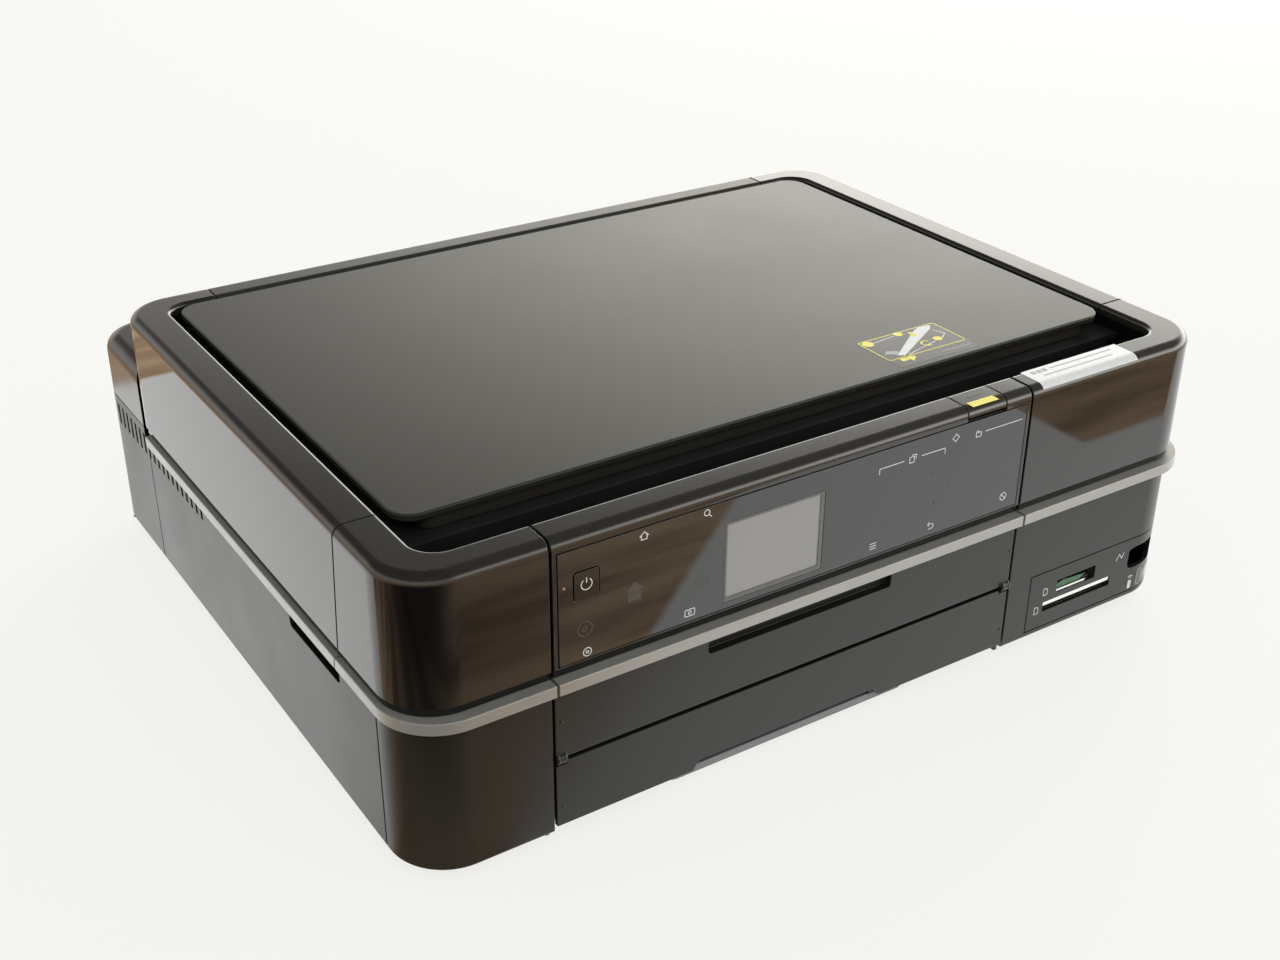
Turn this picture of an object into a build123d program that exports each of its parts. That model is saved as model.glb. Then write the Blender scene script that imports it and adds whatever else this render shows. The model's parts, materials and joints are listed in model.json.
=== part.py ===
from build123d import *
import os
from math import atan, cos, pi, radians, sin, sqrt, tan

# A flat-topped inkjet multifunction printer that also prints on discs.
# Millimetres. X runs left to right, Y front to rear, Z up from the table.

# ---------------------------------------------------------------- driving dimensions
WIDTH = 446.0                 # over the silver strip, side to side
DEPTH = 385.0                 # strip at the front to the rear wall
HEIGHT = 150.0                # table to the top rim
STRIP_OUT_FRONT = 4.5         # the strip stands out from the front face
STRIP_OUT_SIDE = 1.8          # and from the sides
LOWER_SET_IN = 1.2            # lower casing inside the upper one, each side
UPPER_R = 26.0                # front corner radius of the upper casing
LOWER_R = 27.0                # front corner radius of the lower casing
STRIP_R = 28.0                # front corner radius of the strip
REAR_R = 22.0                 # rear corner radius of the lower casing
SCANNER_REAR_R = 24.0         # rear corner radius of the scanner unit
WALL = 2.5                    # moulded casing wall
RIM_T = 3.0                   # top rim thickness
RIM_ROUND = 4.8               # rounding of the rim's outer edge
RIM_INNER_ROUND = 2.2         # rounding of its inner edge
SEAM = 0.7                    # joint line between fixed mouldings
GAP = 1.2                     # joint line beside a part that moves
CLEAR = 0.4                   # small clearance between neighbours
RUN = 0.05                    # radial clearance of a pin in its bore

FOOT_H = 3.3                  # rubber feet
BELLY_T = 2.2                 # thickness of the bottom tray's floor
BODY_Z = 7.5                  # lower edge of the outer casing
SILL_T = 2.5                  # thickness of the bottom tray's flange
CASSETTE_Z = 10.3             # lower edge of the cassette's front
DOOR_Z = 44.95                # lower edge of the front cover
STRIP_Z0 = 80.1               # silver strip, lower edge
STRIP_Z1 = 85.7               # silver strip, upper edge
LEDGE_DROP = 32.0             # rear cover below the top rim
BED_DROP = 10.0               # scanner bed and glass surface below the top rim
LID_DROP = 0.4                # document cover below the top rim

LEFT_CORNER_W = 65.5          # left side to the control panel's left joint line
RIGHT_CORNER_W = 120.8        # right side to its right joint line
SIDE_SEAM_BACK = 61.8         # front face to the scanner unit's side joint line, at the strip
SIDE_SEAM_LEAN = 0.101        # it leans forwards by this much per mm of height
LOWER_SEAM_BACK = 30.0        # front face to the lower corner's joint line
REAR_SEAM_IN = 72.5           # rear wall to the joint line of the side panels
SCANNER_REAR_IN = 57.2        # rear wall to the rear wall of the scanner unit
RIM_SIDE_W = 19.6             # width of the top rim at the sides
RIM_FRONT_W = 16.5            # at the front
RIM_REAR_W = 15.9             # and at the rear
OPEN_R = 12.0                 # corner radius of the opening in the rim
RETURN_T = 2.0                # wall that turns down from the rim's inner edge

# derived places of the casing
UPPER_X = WIDTH / 2 - STRIP_OUT_SIDE
LOWER_X = UPPER_X - LOWER_SET_IN
FACE_Y = -DEPTH / 2 + STRIP_OUT_FRONT
REAR_Y = DEPTH / 2
LEDGE_Z = HEIGHT - LEDGE_DROP
BED_Z = HEIGHT - BED_DROP
LID_Z = HEIGHT - LID_DROP
PANEL_X0 = -UPPER_X + LEFT_CORNER_W
PANEL_X1 = UPPER_X - RIGHT_CORNER_W
MID_X = (PANEL_X0 + PANEL_X1) / 2     # centre line of the paper path
SIDE_SEAM_Y = FACE_Y + SIDE_SEAM_BACK
LOWER_SEAM_Y = FACE_Y + LOWER_SEAM_BACK
REAR_SEAM_Y = REAR_Y - REAR_SEAM_IN
SCANNER_REAR_Y = REAR_Y - SCANNER_REAR_IN
OPEN_X = UPPER_X - RIM_SIDE_W
OPEN_Y0 = FACE_Y + RIM_FRONT_W
OPEN_Y1 = SCANNER_REAR_Y - RIM_REAR_W
UPPER_Z = STRIP_Z1 + 0.1
BELLY_Z = FOOT_H + BELLY_T            # upper side of the bottom tray's floor
SILL_Z = BODY_Z + SILL_T
LOWER_TOP = STRIP_Z0 - CLEAR
MOUTH_X0 = PANEL_X0 + GAP / 2         # front cover and cassette, left end
MOUTH_X1 = PANEL_X1 - GAP / 2         # and right end

NODES = {}


# ---------------------------------------------------------------- small tools
def block(x0, x1, y0, y1, z0, z1):
    """Upright block between two corners."""
    return Pos((x0 + x1) / 2, (y0 + y1) / 2, (z0 + z1) / 2) * Box(x1 - x0, y1 - y0, z1 - z0)


def rod_x(x0, x1, y, z, r):
    return Pos((x0 + x1) / 2, y, z) * Rot(0, 90, 0) * Cylinder(r, x1 - x0)


def rod_y(y0, y1, x, z, r):
    return Pos(x, (y0 + y1) / 2, z) * Rot(90, 0, 0) * Cylinder(r, y1 - y0)


def rod_z(z0, z1, x, y, r):
    return Pos(x, y, (z0 + z1) / 2) * Cylinder(r, z1 - z0)


def prism_x(points, x0, x1):
    """Polygon given in (Y, Z), carried from x0 to x1."""
    return extrude(Plane.YZ.offset(x0) * make_face(Polyline(*points, close=True)), x1 - x0)


def prism_y(points, y0, y1):
    """Polygon given in (X, Z), carried from y0 to y1."""
    return extrude(Plane.XZ.offset(-y1) * make_face(Polyline(*points, close=True)), y1 - y0)


def slab_x(x0, x1, y0, y1, z0, z1, r):
    """Block whose four edges along X are rounded."""
    face = Pos((y0 + y1) / 2, (z0 + z1) / 2) * RectangleRounded(y1 - y0, z1 - z0, r)
    return extrude(Plane.YZ.offset(x0) * face, x1 - x0)


def slab_y(x0, x1, z0, z1, y0, y1, r):
    """Block whose four edges along Y are rounded."""
    face = Pos((x0 + x1) / 2, (z0 + z1) / 2) * RectangleRounded(x1 - x0, z1 - z0, r)
    return extrude(Plane.XZ.offset(-y1) * face, y1 - y0)


def slab_z(x0, x1, y0, y1, z0, z1, r):
    """Block whose four edges along Z are rounded."""
    face = Pos((x0 + x1) / 2, (y0 + y1) / 2) * RectangleRounded(x1 - x0, y1 - y0, r)
    return extrude(Plane.XY.offset(z0) * face, z1 - z0)


def plan(half_x, y0, y1, r_front, r_rear):
    """Plan view of a casing: a rectangle with its own front and rear corner radii."""
    face = Pos(0, (y0 + y1) / 2) * Rectangle(2 * half_x, y1 - y0)
    face = fillet(face.vertices().group_by(Axis.Y)[0], r_front)
    return fillet(face.vertices().group_by(Axis.Y)[-1], r_rear)


def tower(face, z0, z1):
    return extrude(Plane.XY.offset(z0) * face, z1 - z0)


def keep(name, *solids):
    """Register a node, as one solid or as a group of separate solids."""
    NODES[name] = solids[0] if len(solids) == 1 else Compound(children=list(solids))


# ---------------------------------------------------------------- casing outlines
def lower_plan(inset):
    return plan(LOWER_X - inset, FACE_Y + inset, REAR_Y - inset, LOWER_R - inset, REAR_R - inset)


def upper_plan(inset):
    return plan(UPPER_X - inset, FACE_Y + inset, SCANNER_REAR_Y - inset,
                UPPER_R - inset, SCANNER_REAR_R - inset)


def opening_plan(grow):
    return plan(OPEN_X + grow, OPEN_Y0 - grow, OPEN_Y1 + grow, OPEN_R + grow, OPEN_R + grow)


def seam_y(z):
    """The leaning side joint line at height z."""
    return SIDE_SEAM_Y - SIDE_SEAM_LEAN * (z - STRIP_Z1)


FAR = WIDTH                   # longer than any cut needs to be
BAND_Z = UPPER_Z + 3.5        # matt band at the foot of the gloss casing
BAND_IN = 0.8                 # depth of that band
DECK_Z = HEIGHT - 24.0        # floor of the finger recess in front of the scanner


def behind_seam(shift):
    """Everything behind the leaning joint line, moved back by shift."""
    low, high = 0.0, HEIGHT + 10
    points = [(seam_y(low) + shift, low), (FAR, low), (FAR, high), (seam_y(high) + shift, high)]
    return prism_x(points, -FAR, FAR)


def upper_shell(return_z):
    """Top rim and outer walls, with the inner edge turned down to return_z."""
    shell = tower(upper_plan(0), UPPER_Z, HEIGHT)
    shell = fillet(shell.faces().sort_by(Axis.Z)[-1].edges(), RIM_ROUND)
    shell -= tower(opening_plan(0), 0, FAR)
    inner_edge = shell.faces().sort_by(Axis.Z)[-1].inner_wires()[0].edges()
    shell = fillet(inner_edge, RIM_INNER_ROUND)
    shell -= tower(upper_plan(WALL) - opening_plan(RETURN_T), 0, HEIGHT - RIM_T)
    shell -= tower(opening_plan(RETURN_T), 0, return_z)
    shell -= tower(upper_plan(-5) - upper_plan(BAND_IN), 0, BAND_Z)
    return shell


STRIP_PLAN = plan(WIDTH / 2, -DEPTH / 2, SCANNER_REAR_Y + STRIP_OUT_SIDE, STRIP_R,
                  SCANNER_REAR_R + STRIP_OUT_SIDE)


def strip_ring():
    """The silver strip all round, its outer upper edge softened."""
    ring = tower(STRIP_PLAN, STRIP_Z0, STRIP_Z1)
    ring = fillet(ring.faces().sort_by(Axis.Z)[-1].edges(), 0.6)
    return ring - tower(upper_plan(WALL), 0, FAR)


FRONT_SHELL = upper_shell(DECK_Z + 0.2)
STRIP = strip_ring()
LEFT_END = PANEL_X0 - GAP / 2         # fixed corner casings end here
RIGHT_END = PANEL_X1 + GAP / 2

# ---------------------------------------------------------------- fixed front corners
PANEL_PIN_Y = FACE_Y + 8.0    # tilt axis of the control panel
PANEL_PIN_Z = HEIGHT - 9.0
PANEL_PIN_R = 2.5
PANEL_PIN_L = 4.0
END_WALL_T = 2.0              # wall that closes a corner casing beside the panel


def front_corner(end_x, side):
    """Gloss corner casing with its rim, end wall and panel pivot; side is -1 left, 1 right."""
    x0, x1 = sorted((end_x, side * FAR))
    shell = (FRONT_SHELL & block(x0, x1, -FAR, 0, 0, FAR)) - behind_seam(-SEAM / 2)
    w0, w1 = sorted((end_x, end_x + side * END_WALL_T))
    wall = block(w0, w1, FACE_Y + WALL, OPEN_Y0 - RETURN_T, UPPER_Z, HEIGHT - RIM_T)
    p0, p1 = sorted((end_x + side * END_WALL_T / 2, end_x - side * PANEL_PIN_L))
    return shell + wall + rod_x(p0, p1, PANEL_PIN_Y, PANEL_PIN_Z, PANEL_PIN_R)


keep("front_left_casing", front_corner(LEFT_END, -1))
keep("front_right_casing", front_corner(RIGHT_END, 1))
strip_front = STRIP - behind_seam(-SEAM / 2)
keep("corner_strips",
     strip_front & block(-FAR, LEFT_END, -FAR, 0, 0, FAR),
     strip_front & block(RIGHT_END, FAR, -FAR, 0, 0, FAR))

# ---------------------------------------------------------------- lower casing
lower_ring = tower(lower_plan(0), BODY_Z, UPPER_Z - 0.2)
lower_ring = fillet(lower_ring.faces().sort_by(Axis.Z)[0].edges(), 2.0)
lower_ring -= tower(lower_plan(WALL), 0, FAR)
LOWER_FRONT = lower_ring - block(-FAR, FAR, -FAR, FAR, LOWER_TOP, FAR)

NOTCH_Y0 = SIDE_SEAM_Y + 4.2          # finger notch that lifts the scanner
NOTCH_Y1 = NOTCH_Y0 + 53.0
NOTCH_Z = STRIP_Z0 - 11.1
VENT_PITCH, VENT_N, VENT_H, VENT_W = 7.0, 20, 10.5, 2.6
VENT_Y0 = REAR_Y - 17.5 - (VENT_N - 1) * VENT_PITCH
LEDGE_SEAM_Y = REAR_SEAM_Y - 4.0      # front end of the rear cover at the sides


def side_panel(side):
    """Left or right wall with its finger notch and the first run of vents."""
    x0, x1 = sorted((0, side * FAR))
    wall = LOWER_FRONT & block(x0, x1, LOWER_SEAM_Y + SEAM / 2, REAR_SEAM_Y - SEAM / 2, 0, FAR)
    wall -= slab_x(x0, x1, NOTCH_Y0, NOTCH_Y1, NOTCH_Z, LOWER_TOP + 10, 2)
    return wall - vents(side)


def vents(side):
    """Upright slots in a row, open at the top edge."""
    cuts = [Pos(side * LOWER_X, VENT_Y0 + i * VENT_PITCH, LOWER_TOP - VENT_H / 2 + 0.5)
            * Box(20, VENT_W, VENT_H + 1) for i in range(VENT_N)]
    return Compound(children=cuts)


CARD_X0, CARD_X1 = PANEL_X1 + 15.9, LOWER_X - 7.5     # inset card slot panel
CARD_Z0, CARD_Z1 = BODY_Z + 3.7, DOOR_Z - 1.75
CARD_Y1 = FACE_Y + 38.0               # it wraps round the corner as far as this
left_corner = LOWER_FRONT & block(-FAR, LEFT_END, -FAR, LOWER_SEAM_Y - SEAM / 2, 0, FAR)
right_corner = LOWER_FRONT & block(RIGHT_END, FAR, -FAR, LOWER_SEAM_Y - SEAM / 2, 0, FAR)
keep("lower_left_corner", left_corner)
keep("lower_right_corner", right_corner - block(CARD_X0 - CLEAR, CARD_X1 + CLEAR, -FAR, CARD_Y1,
                                                CARD_Z0 - CLEAR, CARD_Z1 + CLEAR))
keep("left_side_panel", side_panel(-1))
keep("right_side_panel", side_panel(1))


# ---------------------------------------------------------------- duplex unit opening and rear panel
DUPLEX_Z0, DUPLEX_Z1 = 14.0, STRIP_Z0 - 0.1
DUPLEX_X0, DUPLEX_X1 = LEFT_END + 1.65, RIGHT_END - 1.65
INLET_Z, INLET_W, INLET_H, INLET_D = 34.0, 22.0, 13.0, 20.0
INLET_X = -LOWER_X + 24.0
INLET_Z0, INLET_Z1 = INLET_Z - INLET_H / 2, INLET_Z + INLET_H / 2
USB_W, USB_H = 12.0, 11.0
REAR_USB_X, REAR_USB_Z = LOWER_X - 32.0, 36.0
USB_X0, USB_X1 = REAR_USB_X - USB_W / 2, REAR_USB_X + USB_W / 2
USB_Z0, USB_Z1 = REAR_USB_Z - USB_H / 2, REAR_USB_Z + USB_H / 2
SOCKET_GAP = 0.1                      # between a socket and its opening in the casing

rear_ring = lower_ring & block(-FAR, FAR, REAR_SEAM_Y + SEAM / 2, FAR, 0, FAR)
rear_ring -= tower(STRIP_PLAN, LOWER_TOP, FAR)
rear_ring -= block(DUPLEX_X0 - CLEAR, DUPLEX_X1 + CLEAR, REAR_Y - 10, FAR,
                   DUPLEX_Z0 - CLEAR, DUPLEX_Z1 + CLEAR)
rear_ring -= block(INLET_X - INLET_W / 2 - SOCKET_GAP, INLET_X + INLET_W / 2 + SOCKET_GAP,
                   REAR_Y - 10, FAR, INLET_Z0 - SOCKET_GAP, INLET_Z1 + SOCKET_GAP)
rear_ring -= block(USB_X0 - SOCKET_GAP, USB_X1 + SOCKET_GAP, REAR_Y - 10, FAR,
                   USB_Z0 - SOCKET_GAP, USB_Z1 + SOCKET_GAP)
keep("rear_panel", rear_ring - vents(-1) - vents(1))

# ---------------------------------------------------------------- rear cover, with the scanner's hinge ears
HINGE_Y, HINGE_Z = SCANNER_REAR_Y - 8.3, LEDGE_Z + 2.0     # tilt axis of the scanner unit
HINGE_X, HINGE_PIN_R, EAR_R, EAR_T = OPEN_X - 15.6, 2.5, 6.0, 4.0
LEDGE_ROUND = 8.0
ledge = tower(lower_plan(0), UPPER_Z, LEDGE_Z)
ledge = fillet(ledge.faces().sort_by(Axis.Z)[-1].edges(), LEDGE_ROUND)
LEDGE_GAP = 0.8                       # joint between the scanner unit and the rear cover
ledge_front = tower(plan(UPPER_X + LEDGE_GAP, FACE_Y, SCANNER_REAR_Y + LEDGE_GAP,
                         UPPER_R, SCANNER_REAR_R + LEDGE_GAP), 0, FAR)
ledge_front += tower(STRIP_PLAN, 0, FAR)
ledge = (ledge & block(-FAR, FAR, LEDGE_SEAM_Y, FAR, 0, FAR)) - ledge_front
hollow = tower(lower_plan(WALL), 0, LEDGE_Z - WALL)
hollow &= block(-FAR, FAR, SCANNER_REAR_Y + 4, FAR, 0, FAR)
hollow = fillet(hollow.edges().filter_by(Axis.Z), 3)
rear_cover = ledge - hollow


def hinge_ear(side):
    """Plate that reaches forwards from the rear cover and carries the scanner's pivot pin."""
    x0, x1 = sorted((side * HINGE_X, side * (HINGE_X - EAR_T)))
    plate = block(x0, x1, HINGE_Y - EAR_R, SCANNER_REAR_Y + 3, LEDGE_Z - 18, LEDGE_Z - 4)
    plate += rod_x(x0, x1, HINGE_Y, HINGE_Z, EAR_R)
    plate += block(x0, x1, HINGE_Y - EAR_R, HINGE_Y + EAR_R, LEDGE_Z - 5, HINGE_Z)
    p0, p1 = sorted((side * (HINGE_X - EAR_T / 2), side * (HINGE_X + EAR_T + 1.5)))
    return plate + rod_x(p0, p1, HINGE_Y, HINGE_Z, HINGE_PIN_R)


keep("rear_cover", rear_cover + hinge_ear(-1) + hinge_ear(1))

# ---------------------------------------------------------------- bottom tray
BELLY_IN = 12.0               # the belly is set in from the outer casing
CHANNEL_T = 2.0               # walls of the cassette channel
CHANNEL_X0, CHANNEL_X1 = LEFT_END - CHANNEL_T, RIGHT_END + CHANNEL_T
CHANNEL_Y0, CHANNEL_Y1, CHANNEL_TOP = FACE_Y + 5, REAR_Y - 36.5, 64.0
ROLLER_Z = 56.0               # axes of both paper rollers
FEED_Y, EXIT_Y = 36.0, -34.0  # their places front to back
SHAFT_R = 4.0
SCREW_X, SCREW_YS = LOWER_X - 22.0, (FACE_Y + 68.0, 20.0, REAR_Y - 72.5)
SCREW_SPOTS = [(x, y) for x in (-SCREW_X, SCREW_X) for y in SCREW_YS]
SCREW_R, BOSS_R, BOSS_H = 1.5, 4.0, 9.0

tray = tower(lower_plan(BELLY_IN), FOOT_H, SILL_Z) - tower(lower_plan(BELLY_IN + 2), BELLY_Z, FAR)
tray += tower(lower_plan(WALL + 0.1) - lower_plan(BELLY_IN + 1), BODY_Z, SILL_Z)
tray -= block(LEFT_END, RIGHT_END, -FAR, FACE_Y + 40, BELLY_Z, FAR)
tray -= block(LEFT_END, RIGHT_END, -FAR, FACE_Y + WALL + 2, 0, FAR)
for x0, x1 in ((CHANNEL_X0, LEFT_END), (RIGHT_END, CHANNEL_X1)):
    tray += block(x0, x1, CHANNEL_Y0, CHANNEL_Y1, FOOT_H, CHANNEL_TOP)
TURN_Y, TURN_R = REAR_Y - 46.5, 16.0  # roller that turns the sheet at the rear
PAPER_Z = 62.0                        # plane of the sheet over the platen
TURN_Z = PAPER_Z - TURN_R - 2
for y, z in ((FEED_Y, ROLLER_Z), (EXIT_Y, ROLLER_Z), (TURN_Y, TURN_Z)):
    tray -= rod_x(CHANNEL_X0 - 1, CHANNEL_X1 + 1, y, z, SHAFT_R + RUN)
for x, y in SCREW_SPOTS:
    tray += rod_z(BELLY_Z - 0.5, BELLY_Z + BOSS_H, x, y, BOSS_R)
    tray -= rod_z(0, BELLY_Z + BOSS_H - 2, x, y, SCREW_R + 0.1)

# rails for the output tray and a low guide either side of the stored disc tray
OUT_Z, OUT_T = 49.6, 3.0              # output tray, lower face and thickness
RAIL_H, RAIL_W = 2.5, 4.0
DISC_W, DISC_L, DISC_T = 139.0, 240.0, 3.8
DISC_X0, DISC_X1 = MID_X - DISC_W / 2, MID_X + DISC_W / 2
DISC_Z0 = BELLY_Z + 0.3
for x0, x1 in ((LEFT_END, LEFT_END + RAIL_W), (RIGHT_END - RAIL_W, RIGHT_END)):
    tray += block(x0, x1, CHANNEL_Y0 + 8, EXIT_Y - 20, OUT_Z - CLEAR - RAIL_H, OUT_Z - CLEAR)
DISC_GUIDE_T = 3.0
for x in (DISC_X0 - CLEAR - DISC_GUIDE_T, DISC_X1 + CLEAR):
    tray += block(x, x + DISC_GUIDE_T, FACE_Y + WALL + 6, FACE_Y + WALL + DISC_L,
                  BELLY_Z - 0.5, CASSETTE_Z - CLEAR)

FOOT_X, FOOT_Y0, FOOT_Y1, FOOT_R = LOWER_X - 40.0, FACE_Y + 42.0, REAR_Y - 42.5, 9.0
feet = [rod_z(0, FOOT_H, x, y, FOOT_R) for x in (-FOOT_X, FOOT_X) for y in (FOOT_Y0, FOOT_Y1)]
keep("rubber_feet", *[fillet(foot.faces().sort_by(Axis.Z)[0].edges(), 0.8) for foot in feet])
SCREW_HEAD_R, SCREW_HEAD_T, CROSS_L, CROSS_W = 3.0, 1.6, 4.2, 0.8


def case_screw(x, y):
    """Cross-head screw driven up through the bottom tray into its boss."""
    low = FOOT_H - SCREW_HEAD_T
    screw = rod_z(low, FOOT_H, x, y, SCREW_HEAD_R)
    screw += rod_z(FOOT_H - 1, BELLY_Z + BOSS_H - 3, x, y, SCREW_R)
    screw -= Pos(x, y, low) * Box(CROSS_L, CROSS_W, 1.4)
    return screw - Pos(x, y, low) * Box(CROSS_W, CROSS_L, 1.4)


keep("case_screws", *[case_screw(x, y) for x, y in SCREW_SPOTS])

# ---------------------------------------------------------------- deck behind the control panel
DECK_T = 2.5
DECK_Y1 = OPEN_Y0 + 22.5
deck_plan = upper_plan(WALL + 0.1)
deck_plan &= Pos(0, (OPEN_Y0 + DECK_Y1) / 2) * Rectangle(FAR * 2, DECK_Y1 - OPEN_Y0 - 1.0)
deck = tower(deck_plan, DECK_Z - DECK_T, DECK_Z)
deck += block(LEFT_END, RIGHT_END, OPEN_Y0 + 0.5, OPEN_Y0 + 0.5 + DECK_T, UPPER_Z, DECK_Z - 1)
for x0, x1 in ((CHANNEL_X0, LEFT_END), (RIGHT_END, CHANNEL_X1)):
    deck += block(x0, x1, OPEN_Y0 + 0.5, DECK_Y1 - 0.2, CHANNEL_TOP, DECK_Z - 1)
keep("front_deck", deck)

# ---------------------------------------------------------------- metal frame and carriage drive
FRAME_T, FRAME_X, FRAME_Y, FRAME_TOP = 1.5, UPPER_X - 16.2, 60.0, HEIGHT - 38.0
GUIDE_Y, GUIDE_Z, GUIDE_R = 44.0, 88.0, 4.0
BELT_Y0, BELT_Y1, BELT_Z = 51.0, 57.0, 103.0
PULLEY_R, PULLEY_X, BELT_T = 5.0, FRAME_X - 17.0, 1.0
PULLEY_PIN_R = 1.5
FRONT_RAIL_Y, FRONT_RAIL_Z = -48.0, 90.0
GEAR_X0, GEAR_X1 = -FRAME_X + 17.0, -FRAME_X + 22.0   # gear train, left of the carriage's reach
IDLER_Y = (FEED_Y + EXIT_Y) / 2
AXLE_R = 3.0
STAY_Y, STAY_Z, STAY_PIN_R = 30.0, 91.0, 2.0          # prop that holds the scanner unit up
STAY_X0, STAY_X1 = FRAME_X + 3.0, FRAME_X + 6.0
frame = block(-FRAME_X, FRAME_X, FRAME_Y, FRAME_Y + FRAME_T, 46.0, FRAME_TOP)
PLATEN_X0, PLATEN_X1 = LEFT_END + 16.65, RIGHT_END - 16.65      # printing width
frame -= block(PLATEN_X0, PLATEN_X1, FRAME_Y - 1, FRAME_Y + 3, PAPER_Z - 2, PAPER_Z + 6)
for x0, x1 in ((CHANNEL_X0, LEFT_END), (RIGHT_END, CHANNEL_X1)):
    frame -= block(x0 - CLEAR, x1 + CLEAR, FRAME_Y - 1, FRAME_Y + 3, 0, CHANNEL_TOP + CLEAR)
for side in (-1, 1):
    x0, x1 = sorted((side * FRAME_X, side * (FRAME_X - FRAME_T)))
    frame += block(x0, x1, FRONT_RAIL_Y, FRAME_Y + FRAME_T, BELLY_Z, FRAME_TOP - 14)
    frame -= rod_x(x0 - 1, x1 + 1, GUIDE_Y, GUIDE_Z, GUIDE_R + 0.02)
    frame -= block(x0 - 1, x1 + 1, -20, 30, 16, 40)
frame += rod_y(BELT_Y0 - 1, FRAME_Y + 1, -PULLEY_X, BELT_Z, PULLEY_PIN_R)
frame -= rod_y(FRAME_Y - 1, FRAME_Y + 3, PULLEY_X, BELT_Z, PULLEY_R)
frame += rod_x(-FRAME_X + FRAME_T / 2, GEAR_X1 + 1, IDLER_Y, ROLLER_Z, AXLE_R)
frame += rod_x(FRAME_X - FRAME_T / 2, STAY_X1 + 1, STAY_Y, STAY_Z, STAY_PIN_R)
frame += block(-FRAME_X, FRAME_X, FRONT_RAIL_Y, FRONT_RAIL_Y + FRAME_T, 80.0, FRONT_RAIL_Z)
frame += block(-FRAME_X, FRAME_X, FRONT_RAIL_Y, FRONT_RAIL_Y + 7, FRONT_RAIL_Z - FRAME_T, FRONT_RAIL_Z)
keep("metal_frame", frame)
keep("guide_rod", rod_x(-FRAME_X - 1.5, FRAME_X + 1.5, GUIDE_Y, GUIDE_Z, GUIDE_R))


def belt_loop(inner_r, width_y0, width_y1):
    """Two half turns joined by straight runs, between the two pulleys."""
    long_face = SlotCenterToCenter(2 * PULLEY_X, 2 * inner_r)
    return extrude(Plane.XZ.offset(-width_y1) * Pos(0, BELT_Z) * long_face, width_y1 - width_y0)


BELT_R = PULLEY_R + 0.3
belt = belt_loop(BELT_R + BELT_T, BELT_Y0, BELT_Y1)
keep("timing_belt", belt - belt_loop(BELT_R, BELT_Y0 - 1, BELT_Y1 + 1))
for name, side in (("drive_pulley", 1), ("idler_pulley", -1)):
    pulley = rod_y(BELT_Y0, BELT_Y1, side * PULLEY_X, BELT_Z, PULLEY_R)
    pulley -= rod_y(BELT_Y0 - 1, BELT_Y1 + 1, side * PULLEY_X, BELT_Z, PULLEY_PIN_R + RUN)
    keep(name, pulley)

MOTOR_R, MOTOR_L = 13.0, 30.0
FEED_MOTOR_X, FEED_MOTOR_Z = -FRAME_X + 19.0, 60.0


def motor(x, z, y0):
    """Round motor can on the back of the metal frame, with a stepped end cap."""
    can = rod_y(y0, y0 + MOTOR_L, x, z, MOTOR_R)
    can = fillet(can.faces().sort_by(Axis.Y)[-1].edges(), 1.5)
    return can + rod_y(y0 + MOTOR_L - 1, y0 + MOTOR_L + 2, x, z, MOTOR_R / 2)


carriage_motor = motor(PULLEY_X, BELT_Z, FRAME_Y + FRAME_T)
carriage_motor += rod_y(BELT_Y0 - 1, FRAME_Y + FRAME_T + 1, PULLEY_X, BELT_Z, PULLEY_PIN_R)
keep("drive_motors", carriage_motor, motor(FEED_MOTOR_X, FEED_MOTOR_Z, FRAME_Y + FRAME_T))

STAY_L, STAY_W = 130.0, 6.0
stay = slab_x(STAY_X0, STAY_X1, STAY_Y - STAY_L - STAY_W / 2, STAY_Y + STAY_W / 2, STAY_Z - STAY_W / 2,
              STAY_Z + STAY_W / 2, STAY_W / 2 - 0.05)
keep("scanner_stay", stay - rod_x(STAY_X0 - 1, STAY_X1 + 1, STAY_Y, STAY_Z, STAY_PIN_R + RUN))

# ---------------------------------------------------------------- ink carriage
CARRIAGE_W, CARRIAGE_Y0, CARRIAGE_Y1 = 92.0, -40.0, 50.0
CARRIAGE_Z0, CARRIAGE_TOP = 72.0, 108.0
HOME_X = FRAME_X - 55.0
INK_N, INK_W, INK_L, INK_H = 6, 12.4, 62.0, 38.0
INK_PITCH = 14.0
HEAD_Z = 66.0
INK_Y0, INK_Z0 = CARRIAGE_Y0 + 3, CARRIAGE_Z0 + 3
cx0, cx1 = HOME_X - CARRIAGE_W / 2, HOME_X + CARRIAGE_W / 2
carriage = block(cx0, cx1, CARRIAGE_Y0, CARRIAGE_Y1, CARRIAGE_Z0, CARRIAGE_TOP)
carriage -= block(cx0 + 3, cx1 - 3, INK_Y0 - CLEAR, INK_Y0 + INK_L + CLEAR, INK_Z0 - 0.2, FAR)
carriage -= block(cx0 - 1, cx1 + 1, INK_Y0 - CLEAR, INK_Y0 + INK_L + CLEAR, 98.0, FAR)
carriage -= block(cx0 - 1, cx1 + 1, GUIDE_Y - 11, CARRIAGE_Y1 + 1, 98.0, FAR)
carriage += block(HOME_X - 34, HOME_X + 34, -12, 24, HEAD_Z, CARRIAGE_Z0 + 1)
carriage -= rod_x(cx0 - 1, cx1 + 1, GUIDE_Y, GUIDE_Z, GUIDE_R + RUN)
carriage += block(HOME_X - 20, HOME_X + 20, FRONT_RAIL_Y + 3, CARRIAGE_Y0 + 1, FRONT_RAIL_Z + CLEAR,
                  FRONT_RAIL_Z + 4)
clamp_z = BELT_Z - BELT_R - BELT_T
carriage += block(HOME_X - 10, HOME_X + 10, CARRIAGE_Y1 - 1, BELT_Y1, clamp_z - 5, clamp_z - 0.3)
keep("ink_carriage", carriage)


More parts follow.
